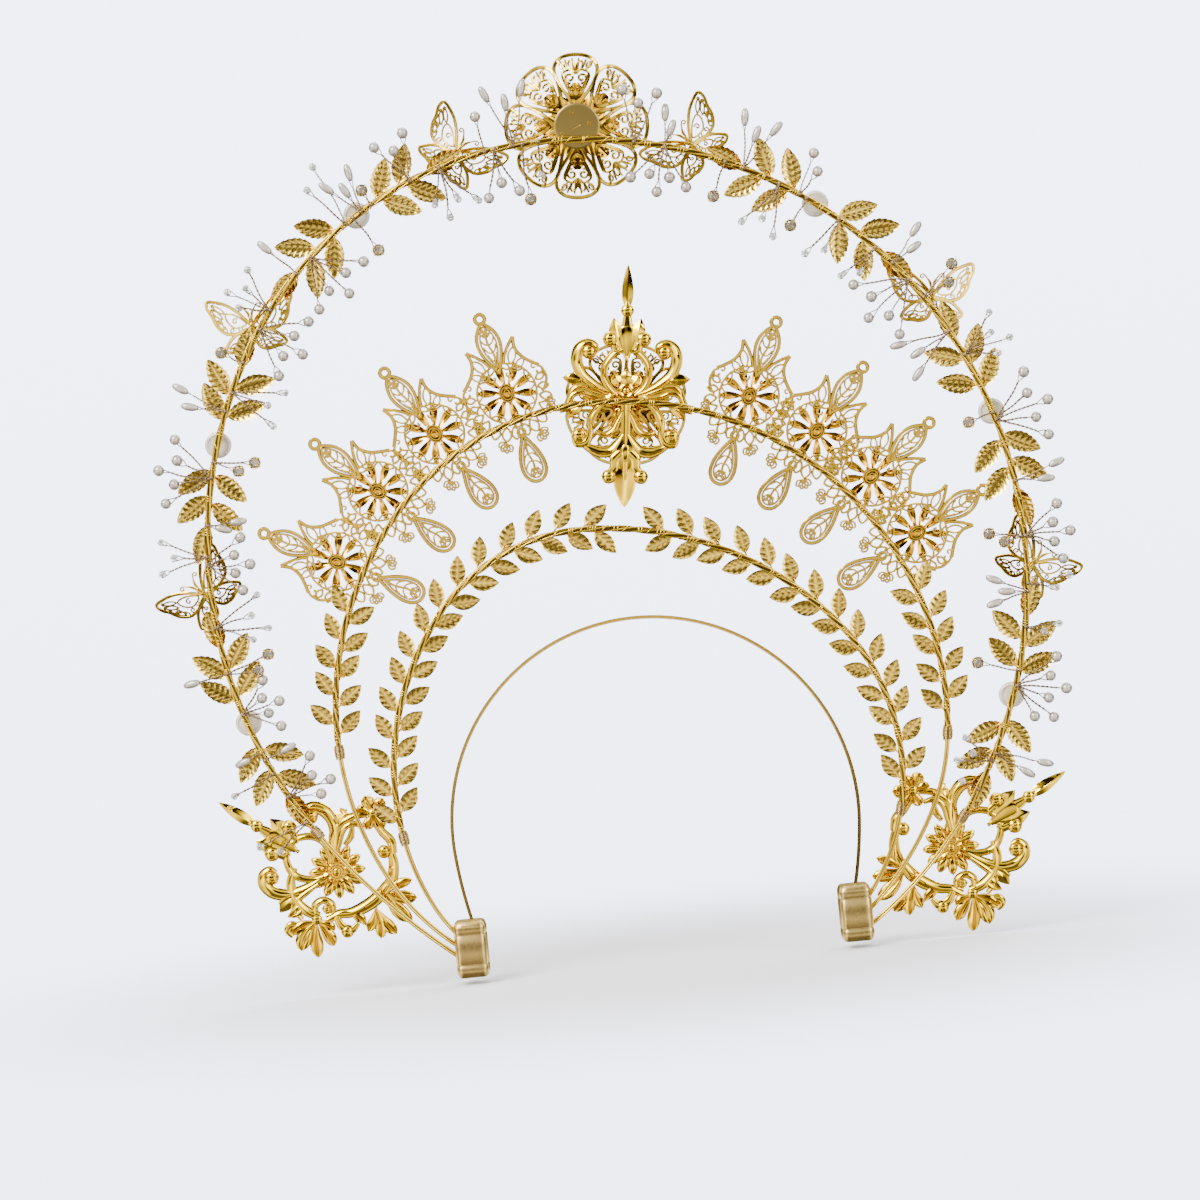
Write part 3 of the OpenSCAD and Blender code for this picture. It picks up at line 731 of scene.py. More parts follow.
@dataclass(frozen=True)
class GoldFinish:
    """Plated metal: its own colour where it stands proud, with painted shade that darkens it in its recesses.
    """

    name: str
    bright: Color
    # Darker colour for the painted shade in recesses, and for the random clouds
    shade_and_cloud_color: Color = (0.62, 0.33, 0.07)
    roughness: float = 0.14
    mottle: float = 0.05
    grain: float = 900
    bump: float = 0.2
    cloud_scale: float = 55
    cloud_tone: float = 0.5
    recess_roughness: float = 0.12
    specular: tuple[float, float, float, float] = (1, 0.88, 0.55, 1)

    def make(self) -> bpy.types.Material:
        """Builds the material.

        Returns:
            The material.
        """
        made, bench = new_material(self.name, self.bright)
        # Painted shade carried by the mesh, high in its hollows
        recess = bench.node("Attribute", {"attribute_name": "recess"})["Fac"]
        cloud = bench.noise(self.cloud_scale, 3.0) - 0.5
        fine = bench.noise(self.grain, 2.0)
        rough = (self.roughness + (fine - 0.5) * self.mottle * 2 + recess * self.recess_roughness
                 + cloud * self.mottle)
        bump = bench.node("Bump", None, {"Strength": self.bump, "Distance": 0.0001, "Height": fine})
        # The colour darkens by the painted shade, and shifts at random by the clouds
        bench.surface({
            "Base Color": bench.blend(recess + cloud * self.cloud_tone, self.bright, self.shade_and_cloud_color),
            "Metallic": 1.0, "Roughness": rough, "Normal": bump[0], "Specular Tint": self.specular})
        return made


@dataclass(frozen=True)
class PearlFinish:
    """Ivory bead with a soft lustre, and painted shade that darkens its colour towards the rim as the surface
    turns from the view.
    """

    name: str
    color: Color = (0.56, 0.5, 0.38)
    blush: Color = (0.58, 0.49, 0.39)
    # Colour of the painted shade at the rim
    rim: Color = (0.03, 0.026, 0.018)
    roughness: float = 0.2
    cloud_scale: float = 160

    def make(self) -> bpy.types.Material:
        """Builds the material.

        Returns:
            The material.
        """
        made, bench = new_material(self.name, self.color)
        cloud = bench.noise(self.cloud_scale, 2.0)
        facing = bench.node("LayerWeight", None, {"Blend": 0.5})["Facing"]
        middle = bench.blend(cloud * 0.7, self.color, self.blush)
        # Painted shade: the colour darkens towards the rim colour as the surface turns away from the view
        bench.surface({
            "Base Color": bench.blend(facing ** 0.6 * 1.5 - 0.2, middle, self.rim),
            "Roughness": self.roughness + (cloud - 0.5) * 0.08, "IOR": 1.9, "Specular IOR Level": 0.6,
            "Coat Weight": 0.7, "Coat Roughness": 0.06, "Coat IOR": 1.6})
        return made


@dataclass(frozen=True)
class CrystalFinish:
    """Clear cut glass."""

    name: str
    tint: Color = (0.96, 0.97, 0.99)
    shade: Color = (0.86, 0.89, 0.93)
    clear: float = 0.86
    cloud_scale: float = 240

    def make(self) -> bpy.types.Material:
        """Builds the material.

        Returns:
            The material.
        """
        made, bench = new_material(self.name, self.tint)
        cloud = bench.noise(self.cloud_scale, 1.0)
        bench.surface({
            "Base Color": bench.blend(cloud, self.tint, self.shade), "Roughness": 0.03 + cloud * 0.04,
            "IOR": 1.6, "Transmission Weight": self.clear, "Coat Weight": 0.3, "Coat Roughness": 0.02})
        return made


@dataclass(frozen=True)
class StageFinish:
    """Plain pale floor that fades out around the crown and hardly shows in the metal."""

    name: str
    color: Color = (0.86, 0.865, 0.9)
    near: float = 0.11
    far: float = 0.46
    shy: float = 0.95

    def make(self) -> bpy.types.Material:
        """Builds the material.

        Returns:
            The material.
        """
        made, bench = new_material(self.name, self.color)
        cloud = bench.noise(3.0, 2.0)
        base = bench.blend(cloud * 0.3, self.color, tuple(0.97 * c for c in self.color))
        where = bench.node("TexCoord")["Object"]
        reach = bench.node("VectorMath", {"operation": "LENGTH"}, {0: where})["Value"]
        fade = bench.node("MapRange", {"interpolation_type": "SMOOTHERSTEP"}, {
            "Value": reach, "From Min": self.near, "From Max": self.far, "To Min": 1.0, "To Max": 0.0})
        mirrored_ray = bench.node("LightPath")["Is Glossy Ray"]
        bench.surface({"Base Color": base, "Roughness": 0.7 + cloud * 0.1,
                       "Alpha": fade[0] * (1 - mirrored_ray * self.shy)})
        return made


class Finishes:
    """All materials of the crown."""

    def __init__(self) -> None:
        """Builds each of them once."""
        self.band = GoldFinish("gold_band", (0.78, 0.51, 0.07), roughness=0.12).make()
        self.wire = GoldFinish("gold_wire", (0.68, 0.47, 0.045), (0.2, 0.1, 0.005), 0.13, 0.07).make()
        # The core is near black: it shows between the strands as painted shade
        self.core = GoldFinish("shaded_wire", (0.13, 0.07, 0.008), (0.04, 0.02, 0.002), 0.2, 0.07).make()
        self.binding = GoldFinish("binding_wire", (0.42, 0.29, 0.1), (0.16, 0.09, 0.03), 0.26, 0.1).make()
        self.leaf = GoldFinish("leaf_gold", (1, 0.71, 0.12), (0.17, 0.075, 0.003), 0.15, 0.06).make()
        self.filigree = GoldFinish("filigree_gold", (0.54, 0.37, 0.035), (0.17, 0.075, 0.004), 0.15).make()
        self.amber = GoldFinish("mirror_gold", (0.74, 0.4, 0.015), (0.3, 0.12, 0.002), 0.06, 0.03,
                                bump=0.05).make()
        self.cast = GoldFinish("cast_gold", (0.74, 0.49, 0.018), (0.27, 0.125, 0.003), 0.07, 0.03,
                               bump=0.08).make()
        self.satin = GoldFinish("satin_gold", (0.27, 0.2, 0.06), (0.14, 0.1, 0.02), 0.34, 0.1,
                                2500.0).make()
        self.collar = GoldFinish("collar_gold", (0.48, 0.34, 0.11), (0.3, 0.18, 0.05), 0.3, 0.1).make()
        self.stem = GoldFinish("stem_wire", (0.22, 0.155, 0.085), (0.07, 0.04, 0.015), 0.3, 0.1).make()
        self.pearl = PearlFinish("ivory_pearl").make()
        # Button pearls: a paler colour for the painted shade at the rim
        self.button = PearlFinish("button_pearl", (0.86, 0.8, 0.66), (0.84, 0.77, 0.64),
                                  (0.6, 0.54, 0.42)).make()
        self.crystal = CrystalFinish("clear_crystal").make()
        self.stone = CrystalFinish("cut_stone", (0.66, 0.58, 0.44), (0.3, 0.25, 0.17), 0.7).make()


# Pieces

@dataclass
class Part:
    """Sub-assembly, made in the crown's finishes."""

    f: Finishes


@dataclass
class HeadBand(Part):
    """Flat band over the head."""

    width: float = 5
    thickness: float = 1.4
    heart_drop: float = 10

    def build(self) -> None:
        """Makes the band with softened edges."""
        shell = Shell()
        line = BAND.line(2)
        heart = line.mean(0) * (1, 0, 1) - (0, 0, self.heart_drop)
        path = line + unit(line - heart) * self.thickness / 2
        shell.sweep(path, STRIP, self.thickness / 2, self.width / 2, BAND_PLANE)
        shell.piece("head_band", "gold_band", [self.f.band], ["headband"])


@dataclass
class HaloWire(Part):
    """One halo: strands bound with fine wire above, two bare wires down each leg."""

    name: str
    bend: Bend
    seed: int
    strands: int = 4
    strand_radius: float = 0.42
    core_radius: float = 1.12
    lay: float = 64
    wander: float = 0.5
    wander_length: float = 17
    wrap_radius: float = 0.24
    group_step: float = 13
    group_turns: float = 2.6
    coil_wire: float = 0.27
    coil_pitch: float = 0.56
    leg_wire: float = 0.52
    leg_spread: float = 0.5
    leg_overlap: float = 5

    def wraps(self, shell: Shell, first: float, last: float, radius: float, pitch: float, wire: float,
              mark: int, phase: float) -> None:
        """Winds fine wire round the halo between two signed lengths.

        Args:
            shell: where the winding goes.
            first: where it starts.
            last: where it ends.
            radius: radius of the winding's middle line.
            pitch: distance from one turn to the next.
            wire: radius of the fine wire.
            mark: number of the finish.
            phase: angle of the first turn.
        """
        turns = abs(last - first) / pitch
        count = max(8, int(turns * 10))
        line = self.bend.line(1, (first, last))
        t = np.linspace(0, 1, count)
        s = np.linspace(0, 1, len(line))
        middle = np.c_[np.interp(t, s, line[:, 0]), np.zeros(count), np.interp(t, s, line[:, 2])]
        path = coil(middle, tau * turns * t + phase, radius)
        shell.sweep(path, ROUND5, wire, place=HALO_PLANE, up=(0.13, 0.9, 0.2), mark=mark)

    def bind(self, shell: Shell, first: float, last: float) -> None:
        """Binds the strands with groups of close turns and a slow turn from each to the next.

        Args:
            shell: where the binding goes.
            first: signed length where the wrapped part starts.
            last: signed length where it ends.
        """
        rng = np.random.default_rng(self.seed)
        radius = WIRE_RADIUS - self.wrap_radius
        where = first + 4
        while where < last - 6:
            turns = self.group_turns * rng.uniform(0.6, 1.5)
            pitch = rng.uniform(0.62, 1.5)
            after = where + turns * pitch
            self.wraps(shell, where, min(after, last - 3), radius + 0.06, pitch, self.wrap_radius,
                       0, rng.uniform(0, 6))
            step = self.group_step * rng.uniform(0.7, 1.25)
            self.wraps(shell, after, min(where + step, last - 3), radius, step * 0.7, self.wrap_radius * 0.9,
                       0, rng.uniform(0, 6))
            where += step

    def leg(self, shell: Shell, side: Side) -> None:
        """Makes the coil at a foot and the two bare wires below it.

        Args:
            shell: where they go.
            side: side of the wearer.
        """
        foot = self.bend.foot_length(side) * side.sign
        for layer, (radius, half) in enumerate(((COIL_RADIUS - 0.25, 3), (COIL_RADIUS - 0.02, 1.7))):
            self.wraps(shell, foot - half, foot + half, radius, self.coil_pitch, self.coil_wire, 1, layer)
        ends = sorted((foot - self.leg_overlap * side.sign, self.bend.whole_length(side) * side.sign))
        line = self.bend.line(2, tuple(ends))
        across = np.cross(unit(np.gradient(line, axis=0)), ahead(1))
        for k in (-1, 1):
            shell.sweep(line + across * self.leg_spread * k, ROUND8, self.leg_wire, place=HALO_PLANE)

    def build(self) -> None:
        """Makes the halo's wire, its windings, coils and legs."""
        shell = Shell()
        first, last = -self.bend.foot_length(Side.LEFT), self.bend.foot_length(Side.RIGHT)
        core = self.bend.line(2, (first, last))
        # The near-black core shows in the gaps between the strands as painted shade
        shell.sweep(core, ROUND8, self.core_radius, place=HALO_PLANE, mark=2)
        s = np.linspace(0, last - first, len(core))
        for k in range(self.strands):
            angle = tau * (s / self.lay + k / self.strands)
            angle += self.wander * np.sin(s / self.wander_length)
            strand = coil(core, angle, WIRE_RADIUS - 0.08 - self.strand_radius)
            shell.sweep(strand, ROUND5, self.strand_radius, place=HALO_PLANE)
        self.bind(shell, first, last)
        for side in Side:
            self.leg(shell, side)
        shell.piece(f"{self.name}_halo", "gold_wire", [self.f.wire, self.f.binding, self.f.core],
                    [f"{self.name}_wire"], crease=75)


@dataclass
class SideCollar(Part):
    """Plain block beside the ear that holds the feet."""

    side: Side
    low: Triple = (76, -27, -147)
    high: Triple = (90, -9, -123)
    soften: float = 1.32
    squareness: float = 0.34
    sides: int = 32
    # Share of the height and of the softening at each level: rounded ends and two fine grooves
    levels: tuple[Pair, ...] = (
        (0, 1), (0.03, 0.45), (0.09, 0.08), (0.12, 0), (0.2, 0), (0.215, 0.16), (0.245, 0.16),
        (0.26, 0), (0.74, 0), (0.755, 0.16), (0.785, 0.16), (0.8, 0), (0.88, 0), (0.91, 0.08),
        (0.97, 0.45), (1, 1))

    def build(self) -> None:
        """Makes the block with rounded edges and two fine grooves."""
        sign = self.side.sign
        x = sorted((sign * self.low[0], sign * self.high[0]))
        center = np.array([(x[0] + x[1]) / 2, (self.low[1] + self.high[1]) / 2])
        half = np.array([(x[1] - x[0]) / 2, (self.high[1] - self.low[1]) / 2])
        height = self.high[2] - self.low[2]
        a = (np.arange(self.sides) + 0.5) / self.sides * tau
        c, s = (np.sign(t) * np.abs(t) ** self.squareness for t in (np.cos(a), np.sin(a)))
        walls = []
        for level, pull in self.levels:
            reach = half - pull * self.soften
            walls.append(np.c_[center[0] + c * reach[0], center[1] + s * reach[1],
                               np.full(self.sides, self.low[2] + level * height)])
        shell = Shell()
        shell.tower(walls)
        shell.piece(f"side_collar_block_{self.side}", "collar_gold", [self.f.collar],
                    [f"side_collar_{self.side}"], crease=35)


@dataclass(frozen=True)
class LeafForm:
    """Stamped leaf with a toothed edge, a midrib and slanting veins; it grows along x."""

    length: float
    width: float
    stalk: float
    veins: int = 7
    rows: int = 43
    columns: int = 13
    relief: float = 0.62
    furrow: float = 0.8
    slant: float = 0.2
    cup: float = 0.4
    tooth: float = 0.11
    taper: float = 0.7
    reach: float = 1.2
    twist: float = 14
    sheet: float = 0.26
    rib_height: float = 0.55
    rib_width: float = 0.13
    stalk_points: int = 8

    def edge(self, u: Points) -> tuple[Points, Points]:
        """Outline of the blade.

        Args:
            u: shares of the way from foot to tip.

        Returns:
            Its share of the greatest width, and its half width with the teeth.
        """
        wide = np.sin(pi * u ** 0.86) ** self.taper
        wide = wide / wide.max()
        saw = (u * self.veins) % 1.0
        teeth = 1 + self.tooth * (np.minimum(saw / 0.75, (1 - saw) * 4) - 0.6) * (wide > 0.2)
        return wide[:, None], np.maximum(self.width / 2 * wide * teeth, 0.12)[:, None]

    def add(self, shell: Shell, place: Place, rng: Random) -> None:
        """Adds one leaf to a shell.

        Args:
            shell: where the leaf goes.
            place: its foot, with x along the leaf and y to the front.
            rng: source of its small differences.
        """
        u = np.linspace(0, 1, self.rows)
        bend, twist = rng.uniform(-0.9, 0.9), rng.uniform(-self.twist, self.twist)
        wide, half = self.edge(u)
        uu, vv = np.meshgrid(u, np.linspace(-1, 1, self.columns), indexing="ij")
        aside = np.abs(vv)
        phase = uu * self.veins - self.slant * aside * self.veins
        fold = np.abs((phase % 1) - 0.5) * 2
        groove = np.clip(1 - fold * 2, 0, 1) * np.clip(aside * 4 - 0.6, 0, 1)
        groove = groove * np.clip((self.reach - aside) * 5, 0, 1)
        pillow = np.sin(pi * aside ** 0.8)
        rib = np.exp(-(vv / self.rib_width) ** 2)
        raised = pillow * (1 - self.furrow * groove) + self.rib_height * rib
        y = (self.relief * raised * np.clip(wide * 1.6, 0, 1) - self.cup * vv ** 2 * wide * 0.6
             - bend * 0.04 * self.length * uu ** 2)
        grid = np.stack([self.stalk + uu * self.length, y, vv * half], -1)
        # Painted shade: darkens the grooves between the veins and the strips beside the midrib
        beside_rib = np.exp(-((aside - 0.2) / 0.09) ** 2)
        recess = np.clip(groove * 1.1 * (fold < 0.4) + 0.5 * beside_rib, 0, 1)
        at = place @ turn("x", twist)
        shell.sheet(grid, self.sheet, at, recess)
        n = self.stalk_points
        foot = np.linspace(-0.6, self.stalk + self.length * 0.16, n)
        line = np.c_[foot, np.linspace(-0.3, 0.1, n), np.zeros(n)]
        shell.sweep(line, ROUND6, np.linspace(0.55, 0.34, n), np.linspace(0.42, 0.3, n), at)


def leaf_place(bend: Bend, side: Side, length: float, angle: float) -> Place:
    """Foot of a leaf on a halo's front, at a length from its top, turned outwards by an angle."""
    spot = bend.spot(side, bend.heading_at(side, length))
    return HALO_PLANE @ spot @ shift(0, LEAF_Y, 0) @ turn("y", -angle)


@dataclass
class Laurel(Part):
    """Strip of stamped leaves, two by two, along the front of a halo."""

    name: str
    bend: Bend
    side: Side
    first: float
    last: float
    early: int
    step: float = 12
    lean: float = 42
    strand_radius: float = 0.36
    strand_lay: float = 9
    form: LeafForm = LeafForm(12.6, 7, 2.3, veins=5, rows=31, columns=9, relief=0.3, furrow=1, cup=0.3,
                              tooth=0.03, taper=0.78, reach=0.9, twist=7)

    def build(self) -> None:
        """Makes the twisted stem and its leaves."""
        shell = Shell()
        rng = np.random.default_rng(len(self.name) + 7 * self.side.value)
        start = self.bend.length_at(self.side, self.first)
        stop = self.bend.length_at(self.side, self.last)
        for i in range(int((stop - start) / self.step + 0.15)):
            for s in (-1, 1):
                length = start + (i + (0.85 if s == self.early else 0.5)) * self.step
                angle = 180 - s * (self.lean + rng.uniform(-6, 6))
                self.form.add(shell, leaf_place(self.bend, self.side, length, angle), rng)
        sign = self.side.sign
        stem = self.bend.line(2.2, tuple(sorted((start * sign, stop * sign)))) + ahead(STEM_Y)
        along = np.linspace(0, stop - start, len(stem))
        for k in (0, 1):
            strand = coil(stem, tau * (along / self.strand_lay + k / 2), self.strand_radius + 0.02)
            shell.sweep(strand, ROUND5, self.strand_radius, place=HALO_PLANE)
        shell.piece(f"{self.name}_leaves_{self.side}", "leaf_gold", [self.f.leaf],
                    [f"{self.name}_laurel_{self.side}"])


# Headings of the ornaments, in degrees from a halo's top, for the left side and the right one
# Laurels: first and last heading on each side, and which row's leaf comes first (1 out, -1 in)
LAURELS = (
    ("inner", INNER, ((-8, 97, 1), (13, 98, -1))),
    ("middle", MIDDLE, ((66.5, 90.5, -1), (68.5, 92.5, -1))),
)
CABOCHONS = ((32, 36.5), (72, 72), (108, 108.5))
# Butterflies: the third number is how far the head turns outwards from the way up along the wire
BUTTERFLIES = ((14, 19, 30), (56, 56, 38), (91, 92, 44))
PENDANTS = ((16, 26.5), (32, 39), (47.5, 50.5), (61, 62))
CARTOUCHE_HEADING = 6.2
TOP_HEADING = 4.2
TOP_OUT = 5.5
# Leaves of a spray: distance from the button pearl, side of the wire (1 out, -1 in), lean in degrees
SPRAY_LEAVES = ((10, 1, 48), (12, -1, 52), (21, 1, 44), (24, -1, 48), (33, 1, 6))


@dataclass
class LeafSpray(Part):
    """Five large leaves on a stem that leaves a button pearl."""

    side: Side
    number: int
    stem_ends: Pair = (3, 34)
    form: LeafForm = LeafForm(17, 8.6, 1.5, columns=11, relief=0.6, cup=0.5)

    def build(self) -> None:
        """Makes the stem and its leaves."""
        shell = Shell()
        rng = np.random.default_rng(31 + 10 * self.side.value + self.number)
        center = OUTER.length_at(self.side, CABOCHONS[(self.number - 1) // 2][self.side.value])
        way = -1 if self.number % 2 else 1
        for distance, s, lean in SPRAY_LEAVES:
            tilt = s * (lean + rng.uniform(-7, 7))
            angle = tilt if way > 0 else 180 - tilt
            self.form.add(shell, leaf_place(OUTER, self.side, center + way * distance, angle), rng)
        ends = sorted(self.side.sign * (center + way * end) for end in self.stem_ends)
        shell.sweep(OUTER.line(1.6, tuple(ends)) + ahead(STEM_Y), ROUND6, 0.62, 0.5, HALO_PLANE)
        shell.piece(f"large_leaves_{self.side}_{self.number}", "leaf_gold", [self.f.leaf],
                    [f"leaf_spray_{self.side}_{self.number}"])


@dataclass
class ButtonPearls(Part):
    """Ivory button pearls over the meeting of two sprays."""

    side: Side
    radius: float = 5.6

    def build(self) -> None:
        """Makes three domed buttons, each with a fine rim at its back."""
        shell = Shell()
        r = self.radius
        profile = [(r * 0.3, 0), (r * 0.86, 0), (r * 0.97, 0.35)]
        profile += [(r * cos(t), 0.8 + r * 0.78 * sin(t)) for t in np.linspace(0, 1.54, 12)]
        rim = np.array([(r * 0.8 * cos(t), r * 0.8 * sin(t), -0.05) for t in around(32)])
        for row in CABOCHONS:
            place = HALO_PLANE @ OUTER.spot(self.side, row[self.side.value]) @ shift(0, OVER_Y, 0) @ FORWARD
            shell.lathe(profile, 40, place)
            shell.sweep(rim, ROUND6, 0.22, place=place, closed=True, up=(0, 0, 1))
        shell.piece(f"button_pearls_{self.side}", "ivory_pearl", [self.f.button],
                    [f"cabochons_{self.side}"])


# Filigree

# Lines with their half widths, and whether each is closed
Drawing = list[tuple[Points, float, bool]]
Lift = Callable[[Points], Points]


def mirrored(drawing: Drawing) -> Drawing:
    """A drawing with its mirror image beside it."""
    return drawing + [(p * np.array([-1, 1, 1]), w, c) for p, w, c in drawing]


def scaled(shares: Sequence[Pair], width: float, length: float) -> list[Pair]:
    """Points given as shares of a width and a length."""
    return [(width * x, length * z) for x, z in shares]


def both_sides(right: Sequence[Pair]) -> list[Pair]:
    """Even outline from its right side, which starts and ends on the middle line."""
    return list(right) + [(-x, z) for x, z in right[-2:0:-1]]


def lay_wires(shell: Shell, drawing: Drawing, place: Place, lift: Lift, tall: float, stout: float) -> None:
    """Lays the lines of a drawing as flattened wires over a curved surface.

    Args:
        shell: where the wires go.
        drawing: the lines.
        place: matrix of the drawing.
        lift: takes flat points to the surface.
        tall: half height of the wires.
        stout: factor on all half widths.
    """
    for path, width, closed in drawing:
        wide = width * stout
        shell.sweep(lift(path), ROUND6, wide, min(tall, wide * 1.1), place, closed)


def raised(points: Points, rise: Points) -> Points:
    """Points with a rise added to the depth of each."""
    return points + np.outer(rise, ahead(1))


def cup_lift(radius: float, base: float) -> Lift:
    """Surface of a shallow bowl that opens to the front.

    Args:
        radius: radius of the ball that the bowl is cut from.
        base: depth of its middle.

    Returns:
        A function that takes flat points to the surface.
    """
    def lift(p: Points) -> Points:
        """Raises points by their distance from the middle."""
        reach = np.minimum(np.hypot(p[:, 0], p[:, 2]), radius * 0.99)
        return raised(p, base + radius - np.sqrt(radius ** 2 - reach ** 2))
    return lift


# Right side of a petal's rim and of its inner cell, as shares of its width and of the flower's radius
PETAL_RIM = ((0, 0.24), (0.42, 0.42), (0.92, 0.66), (0.98, 0.84), (0.62, 0.955), (0, 0.99))
PETAL_CELL = ((0, 0.38), (0.62, 0.68), (0.3, 0.78), (0, 0.74))


@dataclass
class FiligreeFlower(Part):
    """Flower of eight pierced petals that opens to the front."""

    name: str
    node: str
    bend: Bend
    heading: float
    out: float
    radius: float
    cup: float
    base_y: float
    turned: float = 0
    petals: int = 8
    slender: float = 0.30
    blade_tilt: float = 5.5
    blade_widths: tuple[float, ...] = (0.4, 1.1, 1.5, 1.7, 1.6, 1.3, 1, 0.7, 0.45, 0.25, 0.1)

    def petal(self) -> Drawing:
        """Lines of one petal, which points along z.

        Returns:
            The drawing.
        """
        r = self.radius
        w = r * self.slender
        rim = spline(scaled(both_sides(PETAL_RIM), w, r), 5, True)
        cell = spline(scaled(both_sides(PETAL_CELL), w, r), 5, True)
        half: Drawing = []
        for a in (0.16, 0.5, 0.84):
            ray = spline([(w * a * 0.55, r * 0.77), (w * a, r * 0.94 - a * r * 0.05)], 5)
            half.append((ray, r * 0.0115, False))
        half += [
            (scroll_line((w * 0.27, r * 0.66), w * 0.25, w * 0.07, -100, 330), r * 0.0125, False),
            (scroll_line((w * 0.2, r * 0.52), w * 0.17, w * 0.05, 20, -330), r * 0.0115, False),
            (spline(scaled([(0, 0.4), (0.2, 0.46), (0.42, 0.6), (0.62, 0.73)], w, r), 5), r * 0.0125, False),
            (ring_line((w * 0.62, r * 0.84), w * 0.16, w * 0.1, 10, 60), r * 0.0105, True),
            (drop_line((0, r * 0.72), (w * 0.3, r * 0.9), w * 0.28, 0.62, 12), r * 0.011, True)]
        return [(rim, r * 0.019, True), (cell, r * 0.0125, True)] + mirrored(half)

    def folded_foot(self, lift: Lift, s: int) -> Points:
        """One half of the folded sheet at a petal's foot.

        Args:
            lift: takes flat points to the bowl.
            s: 1 for the right half, -1 for the left one.

        Returns:
            A grid of points.
        """
        r = self.radius
        rows = []
        for t in np.linspace(0, 1, 9):
            wide = r * self.slender * (0.22 + 0.5 * t) * (1 - 0.8 * max(0, t - 0.55) / 0.45)
            z = r * (0.1 + 0.5 * t)
            rows.append(lift(np.array([(s * wide * k, (1 - abs(k)) * 0.9 * (1 - t * 0.5) + 0.1, z)
                                       for k in (0, 0.35, 0.7, 1)])))
        return np.array(rows)

    def build(self) -> None:
        """Makes the petals, their folded feet and the middle."""
        shell = Shell()
        r = self.radius
        place = HALO_PLANE @ self.bend.spot(Side.RIGHT, self.heading, self.out)
        lift = cup_lift(self.cup, self.base_y + 0.4)
        drawing = self.petal()
        feet = [self.folded_foot(lift, s) for s in (-1, 1)]
        blade = lift(spline([(0, r * 0.2), (r * 0.03, r * 0.36), (0, r * 0.5)], 5))
        for i in range(self.petals):
            at = place @ turn("y", self.turned + i * 360 / self.petals)
            lay_wires(shell, drawing, at, lift, 0.5, 1.5)
            for grid in feet:
                # The folded feet carry an even painted shade
                shell.sheet(grid, 0.22, at, np.full(grid.shape[:2], 0.25), mark=1)
            for tilt in (-self.blade_tilt, self.blade_tilt):
                between = at @ turn("y", 180 / self.petals + tilt)
                shell.sweep(blade, KEEN, self.blade_widths, 0.3, between, mark=1)
        shell.lathe([(0.5, 0), (r * 0.13, 0), (r * 0.15, 0.5), (r * 0.12, 1.6), (r * 0.06, 2.4), (0.3, 2.6)],
                    20, place @ shift(0, self.base_y + 0.2, 0) @ FORWARD, mark=1)
        shell.piece(self.name, "filigree_gold", [self.f.filigree, self.f.amber], [self.node])


@dataclass
class FlowerSeat(Part):
    """Satin disc at the back of the top flower."""

    radius: float = 9.5
    solder_spots: tuple[Pair, ...] = ((5.2, 1), (-2, 5.6), (-6.2, -3.4), (1.5, -6.6), (6.2, -4.6))

    def build(self) -> None:
        """Makes the disc with a few small solder rings."""
        shell = Shell()
        place = HALO_PLANE @ OUTER.spot(Side.RIGHT, TOP_HEADING, TOP_OUT)
        r = self.radius
        shell.lathe([(0.4, 0), (r * 0.9, 0), (r * 0.97, 0.08), (r, 0.25), (r, 0.6), (r * 0.96, 0.8),
                     (0.4, 0.8)], 40, place @ shift(0, FACE_Y, 0) @ FORWARD)
        for center in self.solder_spots:
            shell.hoop(center, (0.7, 0.7), 0.2, FACE_Y, place, 12, 1)
        scratch = spline([(-1.5, -1.2), (0.2, -0.4), (1.8, 0.5)], 5) + ahead(FACE_Y)
        shell.sweep(scratch, ROUND5, 0.18, 0.1, place, mark=1)
        shell.piece("flower_seat", "satin_gold", [self.f.satin, self.f.filigree], ["top_flower_disc"])


# Outline of a wing and of the cell at its heart, as shares of its width and length
WING_RIM = ((0, 0), (-0.18, 0.3), (-0.22, 0.62), (-0.1, 0.86), (0.06, 1), (0.3, 0.93), (0.46, 0.78),
            (0.68, 0.62), (0.74, 0.4), (0.5, 0.2), (0.2, 0.06))
WING_HEART = ((0, 0.14), (-0.06, 0.4), (0.08, 0.58), (0.3, 0.5), (0.36, 0.3))
FEELER = ((0.4, 3.5), (1.4, 7), (3.2, 9.6), (4.6, 9.9), (4.9, 8.8), (4, 8.5), (3.6, 9.2))
SHORT_FEELER = ((0.5, 3.4), (0.5, 6.2), (1.7, 8))


